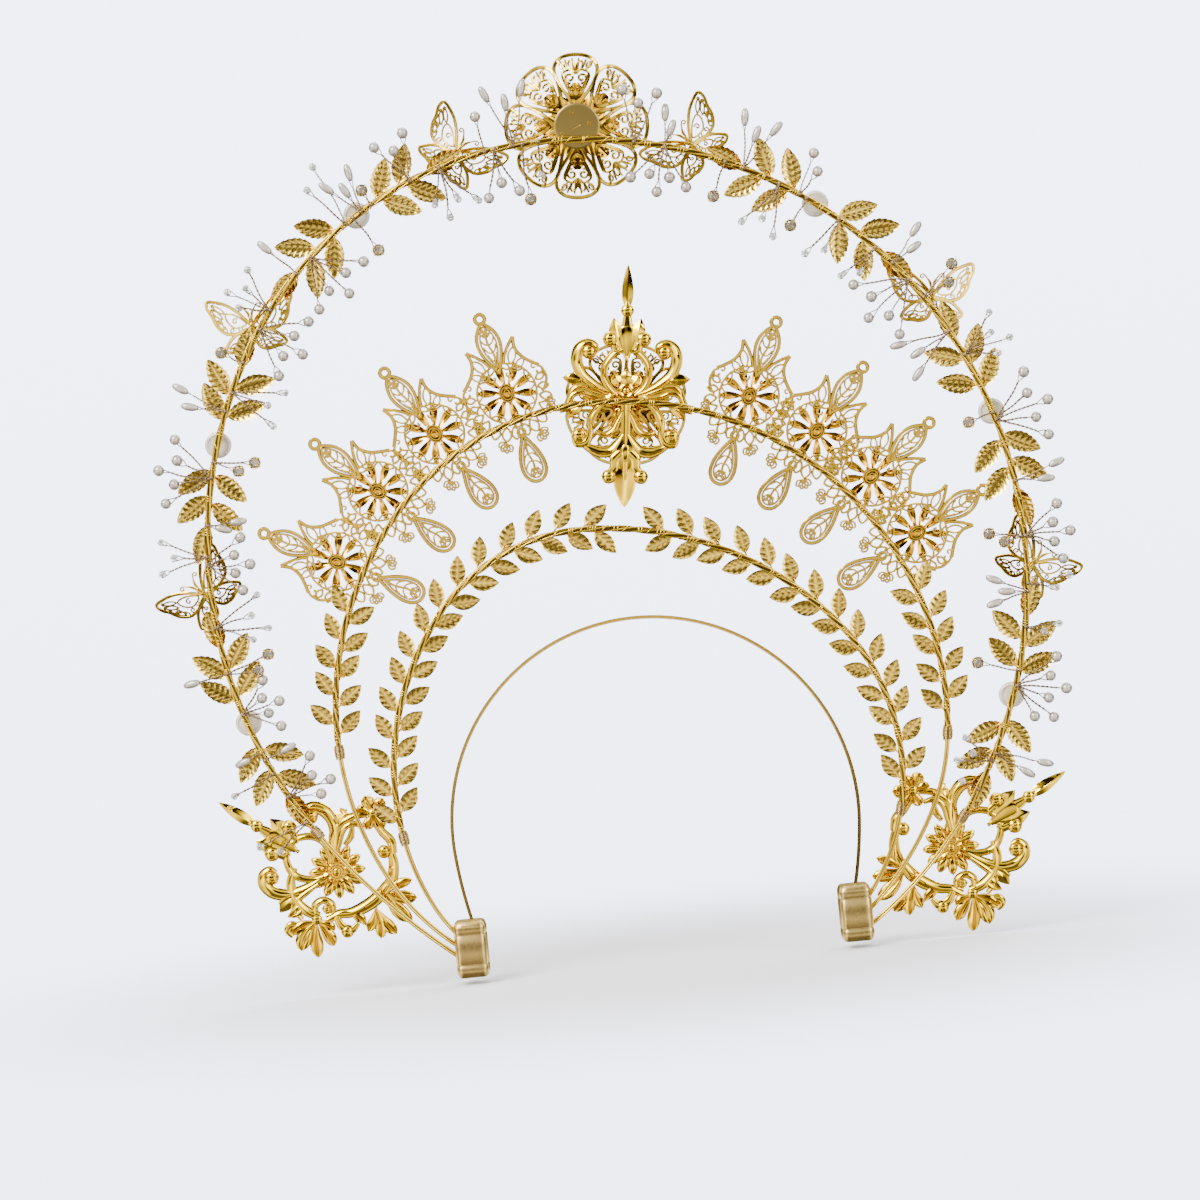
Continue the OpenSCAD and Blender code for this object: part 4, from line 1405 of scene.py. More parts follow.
@dataclass
class Butterfly(Part):
    """Pierced butterfly with looped antennae."""

    side: Side
    number: int
    fore: float = 22.5
    hind: float = 15.5
    rise: float = 14
    body_y: float = OVER_Y + 1.2
    body_points: int = 17
    body_radius: float = 1.15

    def wing(self, length: float, wide: float, cells: int) -> Drawing:
        """Lines of one wing, which points along z with its leading edge at x 0.

        Args:
            length: from the body to the tip.
            wide: greatest width.
            cells: number of pierced cells along the margin.

        Returns:
            The drawing.
        """
        lines: Drawing = [(spline(scaled(WING_RIM, wide, length), 5, True), 0.52, True),
                          (spline(scaled(WING_HEART, wide, length), 5, True), 0.3, True)]
        for i in range(cells):
            a = radians(98 - 88 * ((i + 0.5) / cells))
            c, s = cos(a), sin(a)
            near = (wide * 0.1 + c * length * 0.34, length * 0.3 + s * length * 0.3)
            far = (wide * 0.08 + c * wide * 0.52, length * 0.3 + s * length * 0.58)
            lines.append((drop_line(near, far, wide * 0.16, 0.55, 12), 0.26, True))
            lines.append((circle(far, wide * 0.055, 8), 0.22, True))
        return lines + [
            (scroll_line((wide * 0.14, length * 0.36), wide * 0.12, wide * 0.03, 200, -160), 0.26, False),
            (scroll_line((wide * 0.5, length * 0.32), wide * 0.1, wide * 0.03, 0, 330), 0.24, False),
            (ring_line((wide * 0.28, length * 0.2), wide * 0.07, wide * 0.09, 9), 0.24, True)]

    def build(self) -> None:
        """Makes wings, body and antennae."""
        shell = Shell()
        row = BUTTERFLIES[self.number - 1]
        place = (HALO_PLANE @ OUTER.spot(self.side, row[self.side.value], 3) @ shift(0, self.body_y, 0)
                 @ turn("y", row[2] - 90))

        def lift(p: Points) -> Points:
            """Gives a wing a gentle curve."""
            share = np.clip(np.hypot(p[:, 0], p[:, 2]) / self.fore, 0, 1)
            return raised(p, 0.9 * np.sin(share * pi * 0.8))

        for s in (False, True):
            half = place @ flip_x(s)
            at = half @ turn("z", self.rise)
            lay_wires(shell, self.wing(self.fore, 11, 5), at @ turn("y", 52), lift, 0.45, 1.45)
            lay_wires(shell, self.wing(self.hind, 8.5, 4), at @ turn("y", 118), lift, 0.42, 1.45)
            shell.sweep(spline(FEELER, 5), ROUND6, 0.34, place=half)
            shell.sweep(spline(SHORT_FEELER, 5), ROUND6, 0.3, place=half)
        n = self.body_points
        spine = np.array([(0, 0, z) for z in np.linspace(-6.2, 5.2, n)])
        girth = self.body_radius * np.interp(np.linspace(0, 1, n), [0, 0.1, 0.4, 0.6, 0.7, 0.82, 0.95, 1],
                                             [0.25, 0.6, 0.85, 0.6, 1, 0.75, 0.8, 0.3])
        shell.sweep(spine, ROUND12, girth * (1 + 0.12 * np.sin(np.arange(n) * 2.4)), place=place)
        shell.piece(f"filigree_butterfly_{self.side}_{self.number}", "filigree_gold", [self.f.filigree],
                    [f"butterfly_{self.side}_{self.number}"])


@dataclass
class Pendant(Part):
    """Filigree pendant on the middle halo, with a folded flower on its front."""

    side: Side
    number: int
    out: float = 12
    petals: int = 10
    petal_reach: float = 12.4
    petal_foot: float = 3.2
    petal_rise: float = 0.9
    petal_fold: float = 0.9
    petal_spread: float = 0.46

    @staticmethod
    def drawing() -> Drawing:
        """Lines of the pendant, which points along z.

        Returns:
            The drawing: what lies on the middle line, then both sides.
        """
        lines: Drawing = [
            (circle((0, 33), 2.05), 0.55, True),
            (drop_line((0, 9), (0, 31.2), 9.4, 0.66, 34), 0.5, True),
            (drop_line((0, 11.5), (0, 29.6), 6.4, 0.66, 30), 0.28, True),
            (spline([(0.4, 11), (-0.5, 17), (0.4, 22), (0, 27.5)], 8), 0.34, False),
            (circle((0, 26.8), 0.62, 8), 0.3, True),
            (circle((0, -17.6), 1.7, 14), 0.34, True),
            (circle((0, -13.6), 1.3, 12), 0.32, True),
            (drop_line((0, -18.6), (0, -39.2), 10, 0.68, 34, True), 0.52, True),
            (drop_line((0, -21.5), (0, -37.6), 7.2, 0.68, 30, True), 0.3, True),
            (spline([(-0.4, -20), (0.5, -26), (-0.3, -31), (0, -34)], 8), 0.34, False),
            (circle((0, -35), 0.75, 8), 0.32, True),
            (circle((0, 0), 12.6, 36), 0.3, True),
        ]
        half: Drawing = []
        for rises, veins in (
                ((0, 0.5, 1.9, 3.3), ((14.5, 2), (18, 2.7), (21.6, 3), (25, 2.6))),
                ((0, -0.4, -1.6, -2.8), ((-23.5, 2.2), (-26.8, 3), (-30.2, 3.3), (-33.4, 2.6)))):
            for z, reach in veins:
                across = (0.1, reach * 0.45, reach * 0.8, reach)
                half.append((spline([(x, z + rise) for x, rise in zip(across, rises)], 5), 0.26, False))
        half += [(circle(center, 0.5, 8), 0.26, True)
                 for center in ((0.95, 25.9), (0.9, 27.9), (1.1, -34), (1.1, -36))]
        half += [
            (spline([(3, 12.4), (4.4, 15.2), (7.2, 18.6), (10.4, 21.6)], 7), 0.46, False),
            (spline([(10.4, 21.6), (9.6, 17), (11.2, 12.4), (14.6, 8.6), (16.9, 6.6)], 7), 0.5, False),
            (drop_line((5.6, 11), (9.2, 17.4), 3.2, 0.5, 16), 0.28, True),
            (drop_line((7.4, 8.6), (11.6, 11.6), 2.6, 0.5, 14), 0.26, True),
            (scroll_line((15.9, 4.6), 2, 0.7, 95, -200), 0.36, False),
            (scroll_line((14.4, 7), 1.2, 0.5, 60, 330), 0.28, False),
            (spline([(17.6, 5), (18, 1.2), (16.4, -2.2), (14.2, -4.2)], 6), 0.4, False)]
        for foot, tip, wide in (
                ((13.4, 1.6), (17.2, 2.6), 2.6), ((13.2, -1.6), (17.6, -2.4), 2.8),
                ((12.6, -5.2), (17.4, -7.4), 3.3), ((11.2, -8.4), (15.6, -12.2), 3.6),
                ((8.6, -11.6), (11.6, -16.6), 3.8), ((5.2, -13.6), (7, -19.2), 3.8),
                ((2, -14.2), (2.6, -19.6), 3.2)):
            half.append((drop_line(foot, tip, wide, 0.6, 16), 0.32, True))
        for (x, z), reach, wide, wire, angles in (
                ((7.4, -20.2), 3.7, 2.7, 0.28, (-106, -68, -30, 8)),
                ((14.6, -9.6), 3.4, 2.5, 0.26, (-80, -40, 0, 40))):
            for a in np.radians(angles):
                tip = (x + reach * cos(a), z + reach * sin(a))
                half.append((drop_line((x, z), tip, wide, 0.6, 12), wire, True))
        for i in range(5):
            a = radians(72 - i * 36)
            b = radians(72 - (i + 1) * 36)
            mid = (a + b) / 2
            bow = ((12.6, a), (9.9, mid), (12.6, b))
            half.append((spline([(r * cos(t), r * sin(t)) for r, t in bow], 6), 0.28, False))
            half.append((circle((11.6 * cos(mid), 11.6 * sin(mid)), 0.8, 8), 0.24, True))
        half.append((spline([(1.2, 11.4), (3.2, 9.6), (5.6, 9.6), (7.6, 11)], 6), 0.3, False))
        half.append((scroll_line((3.4, 7.4), 2, 0.6, 90, -240), 0.28, False))
        return lines + mirrored(half)

    def flower(self, shell: Shell, place: Place, y: float) -> None:
        """Adds a wheel of narrow folded petals, rings and a button.

        Args:
            shell: where they go.
            place: middle of the pendant.
            y: depth of the pendant's face.
        """
        half = self.petal_spread * self.petal_reach * sin(pi / self.petals)
        rows = []
        for t in np.linspace(0, 1, 9):
            reach = self.petal_foot + (self.petal_reach - self.petal_foot) * t
            wide = half * (0.3 + 0.7 * sin(pi * min(t / 1.24, 1) ** 1.1))
            wide = max(wide * (1 - max(0, t - 0.8) * 4.4), 0.06)
            rows.append([(k * wide, y + 0.9 + self.petal_rise * t + self.petal_fold * (1 - abs(k))
                          - 0.25 * self.petal_fold * cos(k * 3) * (t > 0.1), reach)
                         for k in (-1, -0.62, -0.3, 0, 0.3, 0.62, 1)])
        grid = np.array(rows)
        # The folded petals carry an even painted shade
        depth = np.full(grid.shape[:2], 0.12)
        for i in range(self.petals):
            shell.sheet(grid, 0.3, place @ turn("y", i * 360 / self.petals), depth, 1)
        for reach, wire, ring_y in ((3.4, 0.42, y + 0.7), (2.5, 0.34, y + 0.45), (1.35, 0.3, y + 0.3)):
            shell.hoop((0, 0), (reach * 0.86, reach * 1.12), wire, ring_y, place, 24)
        shell.lathe([(0.2, 0), (2.2, 0.1), (3.3, 0.6), (3.6, 1.4), (3, 1.9), (0.3, 2.2)], 20,
                    place @ shift(0, y + 0.5, 0) @ FORWARD, mark=1)

    def build(self) -> None:
        """Makes the pierced plate and the flower."""
        shell = Shell()
        y = FACE_Y + (PENDANT_LIFT if self.number % 2 == 0 else 0)
        place = HALO_PLANE @ MIDDLE.spot(self.side, PENDANTS[self.number - 1][self.side.value], self.out)
        rng = np.random.default_rng(70 + self.side.value * 4 + self.number)
        place = place @ turn("y", rng.uniform(-2.5, 2.5))

        def lift(p: Points) -> Points:
            """Gives the plate a slight bow."""
            return raised(p, y + 0.5 - 0.00054 * p[:, 2] ** 2)

        lay_wires(shell, self.drawing(), place, lift, 0.48, 1.6)
        self.flower(shell, place, y)
        shell.piece(f"filigree_pendant_{self.side}_{self.number}", "filigree_gold",
                    [self.f.filigree, self.f.amber], [f"pendant_{self.side}_{self.number}"])


# Cast ornaments

@dataclass
class Casting:
    """Sculpted strokes of a cast ornament around a middle depth."""

    shell: Shell
    place: Place
    y: float
    thick: float = 1.4
    heft: float = 1.12
    steps: int = 7
    knob_squash: float = 0.72

    def at(self, line: Points) -> Points:
        """Points of a drawing brought to the middle depth."""
        return line + ahead(self.y)

    def halves(self) -> Iterable[None]:
        """Lets a loop draw the same strokes twice, as they are and mirrored across the middle.

        Yields:
            Nothing: the casting's place is the mirrored one in the second round.
        """
        drawn_place = self.place
        for place in (drawn_place, drawn_place @ flip_x()):
            self.place = place
            yield
        self.place = drawn_place

    def stroke(self, points: Sequence[Pair], widths: Sequence[float], section: Points = RIDGED,
               tall: float = 1) -> None:
        """Ribbon through points whose full width changes along it.

        Args:
            points: control points.
            widths: full width at each control point.
            section: cross-section.
            tall: share of the usual thickness.
        """
        path = self.at(spline(points, self.steps))
        w = self.heft * np.interp(np.linspace(0, 1, len(path)), np.linspace(0, 1, len(widths)), widths) / 2
        h = self.thick * tall * np.clip(w / w.max(), 0.15, 1) ** 0.6
        self.shell.sweep(path, section, np.maximum(w, 0.05), h, self.place)

    def leaf(self, foot: Pair, tip: Pair, width: float, bow: float = 0, section: Points = KEEN,
             tall: float = 1, fat: float = 0.42, point: float = 0.8) -> None:
        """Pointed leaf from its foot to its tip, bowed to one side.

        Args:
            foot: start.
            tip: end.
            width: greatest width.
            bow: how far its middle bows to the left of the way to the tip.
            section: cross-section.
            tall: share of the usual thickness.
            fat: where along it the leaf is widest, from 0 to 1.
            point: 0.8 for a sharp tip, less for a blunt one.
        """
        start, along, across = axis(foot, tip)
        u = np.linspace(0, 1, 13)
        line = start + np.outer(u, along) + np.outer(np.sin(pi * u) * bow, across)
        w = self.heft * width / 2 * swell(u, fat, point)
        w[0] = max(w[0], width * 0.16)
        h = self.thick * tall * np.clip(w / w.max(), 0.12, 1) ** 0.7
        self.shell.sweep(self.at(drawn(line)), section, np.maximum(w, 0.06), h, self.place)

    def boss(self, center: Pair, radius: float, squash: float, sides: int = 14, rings: int = 8) -> None:
        """Plain ball, flattened towards its back and front."""
        at = self.place @ shift(center[0], self.y, center[1]) @ FORWARD
        self.shell.ball(radius, at, sides, rings, squash)

    def knob(self, center: Pair, radius: float, curl: float, way: int) -> None:
        """Ball with a small scroll laid over its back and front.

        Args:
            center: middle of the ball.
            radius: its radius.
            curl: angle where the scroll starts.
            way: direction of the scroll.
        """
        self.boss(center, radius, self.knob_squash, 16, 10)
        for s in (-1, 1):
            line = scroll_line(center, radius * 0.92, radius * 0.2, curl, curl + way * 400, 20)
            reach = np.hypot(line[:, 0] - center[0], line[:, 2] - center[1])
            swollen = np.sqrt(np.maximum(radius ** 2 - reach ** 2, 0.02))
            line[:, 1] = self.y + s * self.knob_squash * swollen * 0.98
            self.shell.sweep(line, ROUND6, np.linspace(0.34, 0.16, len(line)), place=self.place)


def cast_upper(c: Casting, rosette: bool = True) -> None:
    """Upper half of the ornament: spike, crown, vase and side scrolls.

    Args:
        c: casting at the ornament's place.
        rosette: whether the knot in the middle is drawn too.
    """
    c.leaf((0, 35.8), (0, 54.2), 4.4, tall=1.15, fat=0.36)
    c.boss((0, 34.8), 2.8, 0.7, 18, 12)
    c.stroke([(0, 36.8), (0, 38.6)], (2.8, 1.8), DOMED)
    c.stroke([(0, 33.4), (0, 28.6)], (2.6, 4.4), DOMED)
    c.leaf((0, 13.4), (0, 30.2), 6.4, section=DOMED, tall=0.75, fat=0.66, point=0.55)
    for _ in c.halves():
        c.leaf((0.4, 15.2), (5.8, 31.8), 6.6, bow=-0.6, tall=1.15, fat=0.56, point=1)
        c.knob((7, 22.8), 3.3, 150, -1)
        c.stroke([(2.4, 17.4), (4.6, 18.2), (5.2, 20.6), (6.2, 23.2)], (2.6, 3.4, 3.2, 2), DOMED)
        c.stroke([(1.8, 18.6), (5.4, 16.8), (8.8, 12.4), (9.4, 7.4), (7, 2.4), (3.6, -0.6)],
                 (2.4, 2.6, 2.8, 2.8, 2.6, 1.8))
        c.stroke([(12.4, 17), (13.4, 20), (16.8, 21), (20, 18.6), (21, 13.6), (18.8, 8.2),
                  (14.4, 4.4), (9.2, 1.4), (4.2, -0.4)],
                 (1.2, 2.8, 3.6, 4.4, 4.6, 4.2, 3.6, 2.8, 1.8), tall=1.15)
        c.knob((15.8, 17.4), 3.2, 40, 1)
        c.leaf((17.4, 5.6), (27, 6.4), 5, tall=1.1, fat=0.4)
        c.stroke([(24.4, -3.4), (22.4, 1.6), (18, 3), (12.6, 1.4), (7.4, -0.6)],
                 (1.6, 2.6, 2.8, 2.6, 1.8), tall=0.95)
        if rosette:
            c.leaf((1.8, 0.4), (9.8, -4), 3.8, bow=0.8, tall=1.15, fat=0.56)
            c.leaf((1.2, 0.2), (5.2, -5.6), 3, bow=0.4, fat=0.56)
            c.leaf((0.9, 2.2), (5.2, 8.4), 4.2, bow=-0.6, fat=0.6)
    if rosette:
        c.leaf((0, 2), (0, 10.4), 4.8, tall=1.1, fat=0.55)
        c.shell.sweep(c.at(ring_line((0, 1.2), 2.5, 2.5, 22)), ROUND8, 0.9, 1.4, c.place, True)
        c.boss((0, 1.2), 1.7, 0.8)


def cast_lower(c: Casting) -> None:
    """Lower half of the ornament: arms, brackets and the drop below.

    Args:
        c: casting at the ornament's place.
    """
    c.stroke([(0, -2.4), (0, -9), (0, -15), (0, -21)], (4.2, 3.2, 3.2, 3.4), tall=1.1)
    c.leaf((0, -17.2), (0, -35), 8.6, section=DOMED, tall=0.85)
    c.leaf((0, -19.6), (0, -29.6), 4.2, section=DOMED, tall=1.15, fat=0.5)
    c.leaf((0, -27.6), (0, -48.2), 8.8, tall=0.9)
    c.stroke([(0, -28.6), (0, -34), (0, -42)], (2.8, 2.4, 0.6), DOMED, 1.15)
    for _ in c.halves():
        c.stroke([(9, -1.8), (14, -1.2), (18.6, 0.6), (22.6, -0.6), (24.6, -4.6), (27, -7)],
                 (1.8, 2.6, 3, 3, 2.8, 1.2))
        c.leaf((19.6, -4.2), (28, -8.6), 3.8, bow=0.8)
        c.leaf((17.4, -4), (24.6, -11.2), 3.4, bow=0.6)
        c.stroke([(7, -3), (11.6, -5.8), (14.4, -10.4), (15.2, -15)], (1.8, 2.8, 3.2, 2.6))
        c.knob((19.6, -17.8), 3.3, -60, 1)
        c.stroke([(15.4, -11), (15, -16.6), (16.6, -20.6), (20.4, -21.4), (22.6, -18.2)],
                 (2.4, 3, 3.4, 2.8, 0.8), DOMED)
        c.stroke([(18, -21.4), (14.6, -23.4), (10.4, -24.8), (6.4, -24.2), (3.4, -21), (1, -17.2)],
                 (2.4, 3.6, 4.4, 4.2, 3.4, 2.2), tall=1.15)
        c.stroke([(12.8, -15.8), (9.2, -17.4), (5.6, -15.6), (3.4, -11.4), (1.2, -7)],
                 (1.6, 2.6, 2.8, 2.2, 1.4), tall=0.95)
        c.stroke([(1.8, -24.8), (4.2, -27.6), (4.6, -31), (6.4, -33.2)], (3.6, 4.2, 3.8, 2.4), DOMED)
        c.knob((6.8, -35.2), 3.1, 60, -1)
        c.leaf((1.2, -5.4), (5.6, -12.4), 3, bow=0.6, tall=0.95)


# Fans of furrowed leaves in a side ornament's corner: foot, widest at, then tip, width and bow of each
SHELL_FAN = ((6.2, -22.6), 0.66, (
    ((17.8, -27.2), 4.4, 1), ((14.2, -35), 5.6, 1.6), ((7, -38.6), 4.8, 0.6), ((-0.2, -34.2), 4.6, -0.8),
    ((-1.2, -27.2), 3.8, -0.6)))
EDGE_FAN = ((-19.6, -18.6), 0.68, (((-20.6, -32.8), 4.4, -0.8), ((-27.6, -31.4), 4.4, 0.8),
                                   ((-15.2, -29.2), 3.6, -0.8)))
TIP_FAN = ((-24.2, -12.6), 0.62, (((-34.8, -26.4), 5.4, 1.2), ((-37.8, -16.2), 5, 0.9),
                                  ((-36.4, -8.2), 3.8, -0.6)))
# Rosette at the corner's upper end: its middle, then angle, reach and width of each leaf
CORNER_ROSE = (-22.6, 22)
ROSE_LEAVES = ((20, 7.8, 4.4), (72, 8.6, 4.8), (128, 8, 4.6), (186, 8.8, 4.8), (242, 8.2, 4.4),
               (300, 7.6, 4.2))


def cast_corner(c: Casting) -> None:
    """Acanthus corner of a side ornament, with x away from the head.

    Args:
        c: casting at the corner's place.
    """
    def fan(foot: Pair, fat: float, leaves: Sequence[tuple[Pair, float, float]], tall: float = 1.1) -> None:
        """Blunt furrowed leaves that spread from one foot."""
        for tip, wide, bow in leaves:
            c.leaf(foot, tip, wide, bow=bow, section=GROOVED, tall=tall, fat=fat, point=0.6)

    c.stroke([(13.4, 1.6), (15.6, -5), (14.8, -11.6), (10.6, -17.2), (5, -20.6)],
             (2.4, 3.4, 3.8, 3.8, 3.4), tall=1.15)
    c.stroke([(12.6, -9.6), (17.2, -10.4), (21.6, -13.4)], (2.4, 3.2, 1), DOMED)
    c.leaf((10.8, -14), (18.6, -19.6), 4.4, bow=-0.8, section=GROOVED)
    fan(*SHELL_FAN, tall=1.15)
    c.stroke([(13.8, -24), (17.4, -23), (19.2, -25.6), (17.2, -28.4)], (2, 2.6, 2.4, 1.4), DOMED, 1.1)
    c.boss((6, -21.8), 2.4, 0.65)
    c.stroke([(6.6, -20), (6.2, -15.6), (2.6, -13.6), (-1, -15.8), (-0.8, -19.4), (2, -20.4)],
             (2.4, 2.8, 2.8, 2.6, 2.2, 1.6))
    c.knob((1.4, -17.6), 2, 0, 1)
    c.stroke([(1.6, -22.4), (-3.4, -20.4), (-8.8, -20.2), (-14.6, -18.4), (-20.4, -15), (-25.6, -9.6)],
             (2.6, 3.4, 3.8, 4.6, 4.8, 3.8), tall=1.15)
    c.stroke([(-2.4, -21.2), (-4.2, -25.6), (-8.4, -27.6), (-11.4, -25.2)], (2.4, 3.2, 3, 1.8), DOMED)
    c.knob((-6.4, -28.4), 2.8, 200, 1)
    c.leaf((-9, -20.6), (-14.6, -26.6), 3.8, bow=-1, section=GROOVED)
    fan(*EDGE_FAN)
    fan(*TIP_FAN)
    c.stroke([(-24, -12.4), (-28, -6.6), (-29.2, -0.6), (-28.6, 4.8)], (3.8, 4.2, 3.6, 2.8), tall=1.1)
    c.knob((-25.6, 5), 3, 90, -1)
    c.stroke([(-29.4, 4), (-29, 9.4), (-26, 13.4), (-23.2, 17.6)], (3, 3.4, 3.2, 2.4), tall=1.1)
    c.stroke([(-20, 21.8), (-14, 21.8), (-8.6, 19.6), (-5, 15.6), (-3.8, 10.6), (-4, 6.8)],
             (2.2, 2.8, 3, 2.8, 2.6, 2.2))
    c.leaf((-11, 20), (-8.6, 26), 3.2, bow=0.5)
    c.stroke([(-13.4, 18.4), (-12.2, 13.2), (-9.2, 9.6)], (1.4, 2.6, 1.8), tall=0.95)
    for angle, reach, wide in ROSE_LEAVES:
        a = radians(angle)
        tip = (CORNER_ROSE[0] + reach * cos(a), CORNER_ROSE[1] + reach * sin(a))
        fan(CORNER_ROSE, 0.66, [(tip, wide, 0)])
    c.boss(CORNER_ROSE, 2.6, 0.7)


@dataclass
class Cartouche(Part):
    """Cast ornament at the top of the middle halo."""

    out: float = 3
    y: float = FACE_Y + 1.45

    def build(self) -> None:
        """Makes the casting."""
        shell = Shell()
        c = Casting(shell, HALO_PLANE @ MIDDLE.spot(Side.RIGHT, CARTOUCHE_HEADING, self.out), self.y)
        cast_upper(c)
        cast_lower(c)
        shell.piece("cast_cartouche", "cast_gold", [self.f.cast], ["center_cartouche"], crease=34)


# Middle of each side ornament in the halos' plane, and how far its spike leans outwards
SIDE_PLACES = ((-142, 43, 52), (131, 28, 60))
# Where a post joins the corner to the leg behind it
SIDE_POSTS = ((-27.4, -2.6), (-27.6, 4.6))


@dataclass
class SideOrnament(Part):
    """Cast corner ornament with its folded flower."""

    side: Side
    petals: int = 12
    cast_y: float = OVER_Y + 1.3
    flower_y: float = OVER_Y + 3.9
    flower_spot: Pair = (-4.5, -2)

    def build(self) -> None:
        """Makes the casting and the flower."""
        x, z, lean = SIDE_PLACES[self.side.value]
        base = HALO_PLANE @ shift(x, 0, z) @ flip_x(self.side is Side.LEFT)
        self.scrolls(base, lean)
        self.flower(base @ shift(self.flower_spot[0], 0, self.flower_spot[1]))

    def scrolls(self, base: Place, lean: float) -> None:
        """Makes the scrolls, the acanthus corner and the post behind it.

        Args:
            base: middle of the ornament.
            lean: how far the spike leans outwards, in degrees.
        """
        shell = Shell()
        c = Casting(shell, base @ turn("y", lean), self.cast_y, 1.3, 1.24)
        cast_upper(c, rosette=False)
        c.place = base @ turn("y", lean - SIDE_PLACES[0][2])
        cast_corner(c)
        x, z = SIDE_POSTS[self.side.value]
        post = np.array([(x, y, z) for y in np.linspace(LEG_RADIUS + 0.3, OVER_Y + 1.4, 5)])
        shell.sweep(post, ROUND8, 0.85, place=c.place, up=(0, 0, 1))
        shell.piece(f"cast_scrolls_{self.side}", "cast_gold", [self.f.cast],
                    [f"side_ornament_{self.side}"], crease=34)

    def flower(self, at: Place) -> None:
        """Makes two wheels of petals round a button.

        Args:
            at: middle of the flower.
        """
        shell = Shell()
        y = self.flower_y
        for i in range(self.petals):
            angle = 360 // self.petals * i
            outer = Casting(shell, at @ turn("y", angle), y + 0.2, 1.7, 1)
            outer.leaf((0, 1.6), (0, 12.4), 4.5, section=DOMED, fat=0.64, point=0.7)
            inner = Casting(shell, at @ turn("y", angle + 180 // self.petals), y - 1, 1, 1)
            inner.leaf((0, 1.2), (0, 7.2), 2.5, fat=0.62)
        for reach, wire, ring_y in ((3.4, 0.6, y - 1), (2.3, 0.5, y - 1.2)):
            shell.hoop((0, 0), (reach, reach), wire, ring_y, at, 22)
        shell.ball(1.9, at @ shift(0, y - 0.8, 0) @ FORWARD, 16, 10, 0.7)
        shell.lathe([(0.4, y - 1.2), (3.4, y - 1.1), (3.6, y - 0.3), (2.4, y + 0.5), (0.4, y + 0.7)], 24,
                    at @ FORWARD)
        shell.piece(f"folded_flower_{self.side}", "cast_gold", [self.f.cast], [f"side_flower_{self.side}"])


# Sprigs

# Short names of the beads for the table below
P, R, C, S = Bead
# Heading on the outer halo, side of the wire (1 out, -1 in), kind of bead, number, reach
SPRIGS: dict[Side, tuple[tuple[float, int, Bead, int, float], ...]] = {
    Side.LEFT: (
        (8, -1, P, 3, 17), (9.5, 1, P, 1, 15), (22, 1, P, 3, 17), (41.5, -1, P, 5, 19), (55.5, -1, P, 5, 18),
        (76, 1, P, 5, 19), (87, -1, P, 5, 15), (106.5, -1, P, 5, 14), (118.5, -1, P, 4, 17),
        (5, 1, R, 3, 21), (31, 1, R, 3, 14), (45, 1, R, 1, 17), (67.5, 1, R, 2, 18), (82, -1, R, 2, 10),
        (101, 1, R, 1, 16), (112, 1, R, 1, 9), (113, -1, R, 1, 11),
        (1, -1, C, 1, 14), (17, -1, C, 4, 18), (34, 1, C, 2, 24), (52, 1, C, 4, 16), (65, -1, C, 3, 19),
        (86, 1, C, 3, 17), (95, -1, C, 4, 19), (115, 1, C, 1, 19), (122.5, 1, C, 2, 20),
        (29, 1, S, 1, 7), (32.5, -1, S, 1, 17), (61, 1, S, 1, 10), (3.5, -1, S, 1, 23), (74, -1, S, 2, 14),
        (101, -1, S, 2, 16)),
    Side.RIGHT: (
        (11.5, 1, P, 3, 19), (15.5, -1, P, 5, 16), (34, 1, P, 2, 15), (52, -1, P, 5, 20), (73, 1, P, 5, 20),
        (88, 1, P, 5, 16), (107, 1, P, 6, 18),
        (15.5, 1, R, 2, 11), (26, 1, R, 3, 18), (49, 1, R, 2, 14), (60.5, -1, R, 3, 19), (81, 1, R, 2, 16),
        (95, -1, R, 3, 12), (116, 1, R, 2, 19),
        (31, -1, C, 3, 19), (40, -1, C, 2, 17), (46, -1, C, 2, 15), (64, 1, C, 4, 17), (94, 1, C, 2, 15),
        (99.5, 1, C, 2, 11), (117, -1, C, 3, 12), (121, -1, C, 1, 8),
        (23.5, -1, S, 1, 15), (35, -1, S, 1, 13), (55, 1, S, 2, 15), (72, -1, S, 1, 11), (88, -1, S, 2, 12),
        (105, -1, S, 1, 18)),
}
FAN_STEP = 19.0
FAN_SWING = 3.0
FAN_Y = -0.9
FAN_Y_STEP = -1.6
# Thinnest that a pearl gets at its hole
PEARL_HOLE = 0.22
RICE_HOLE = 0.2


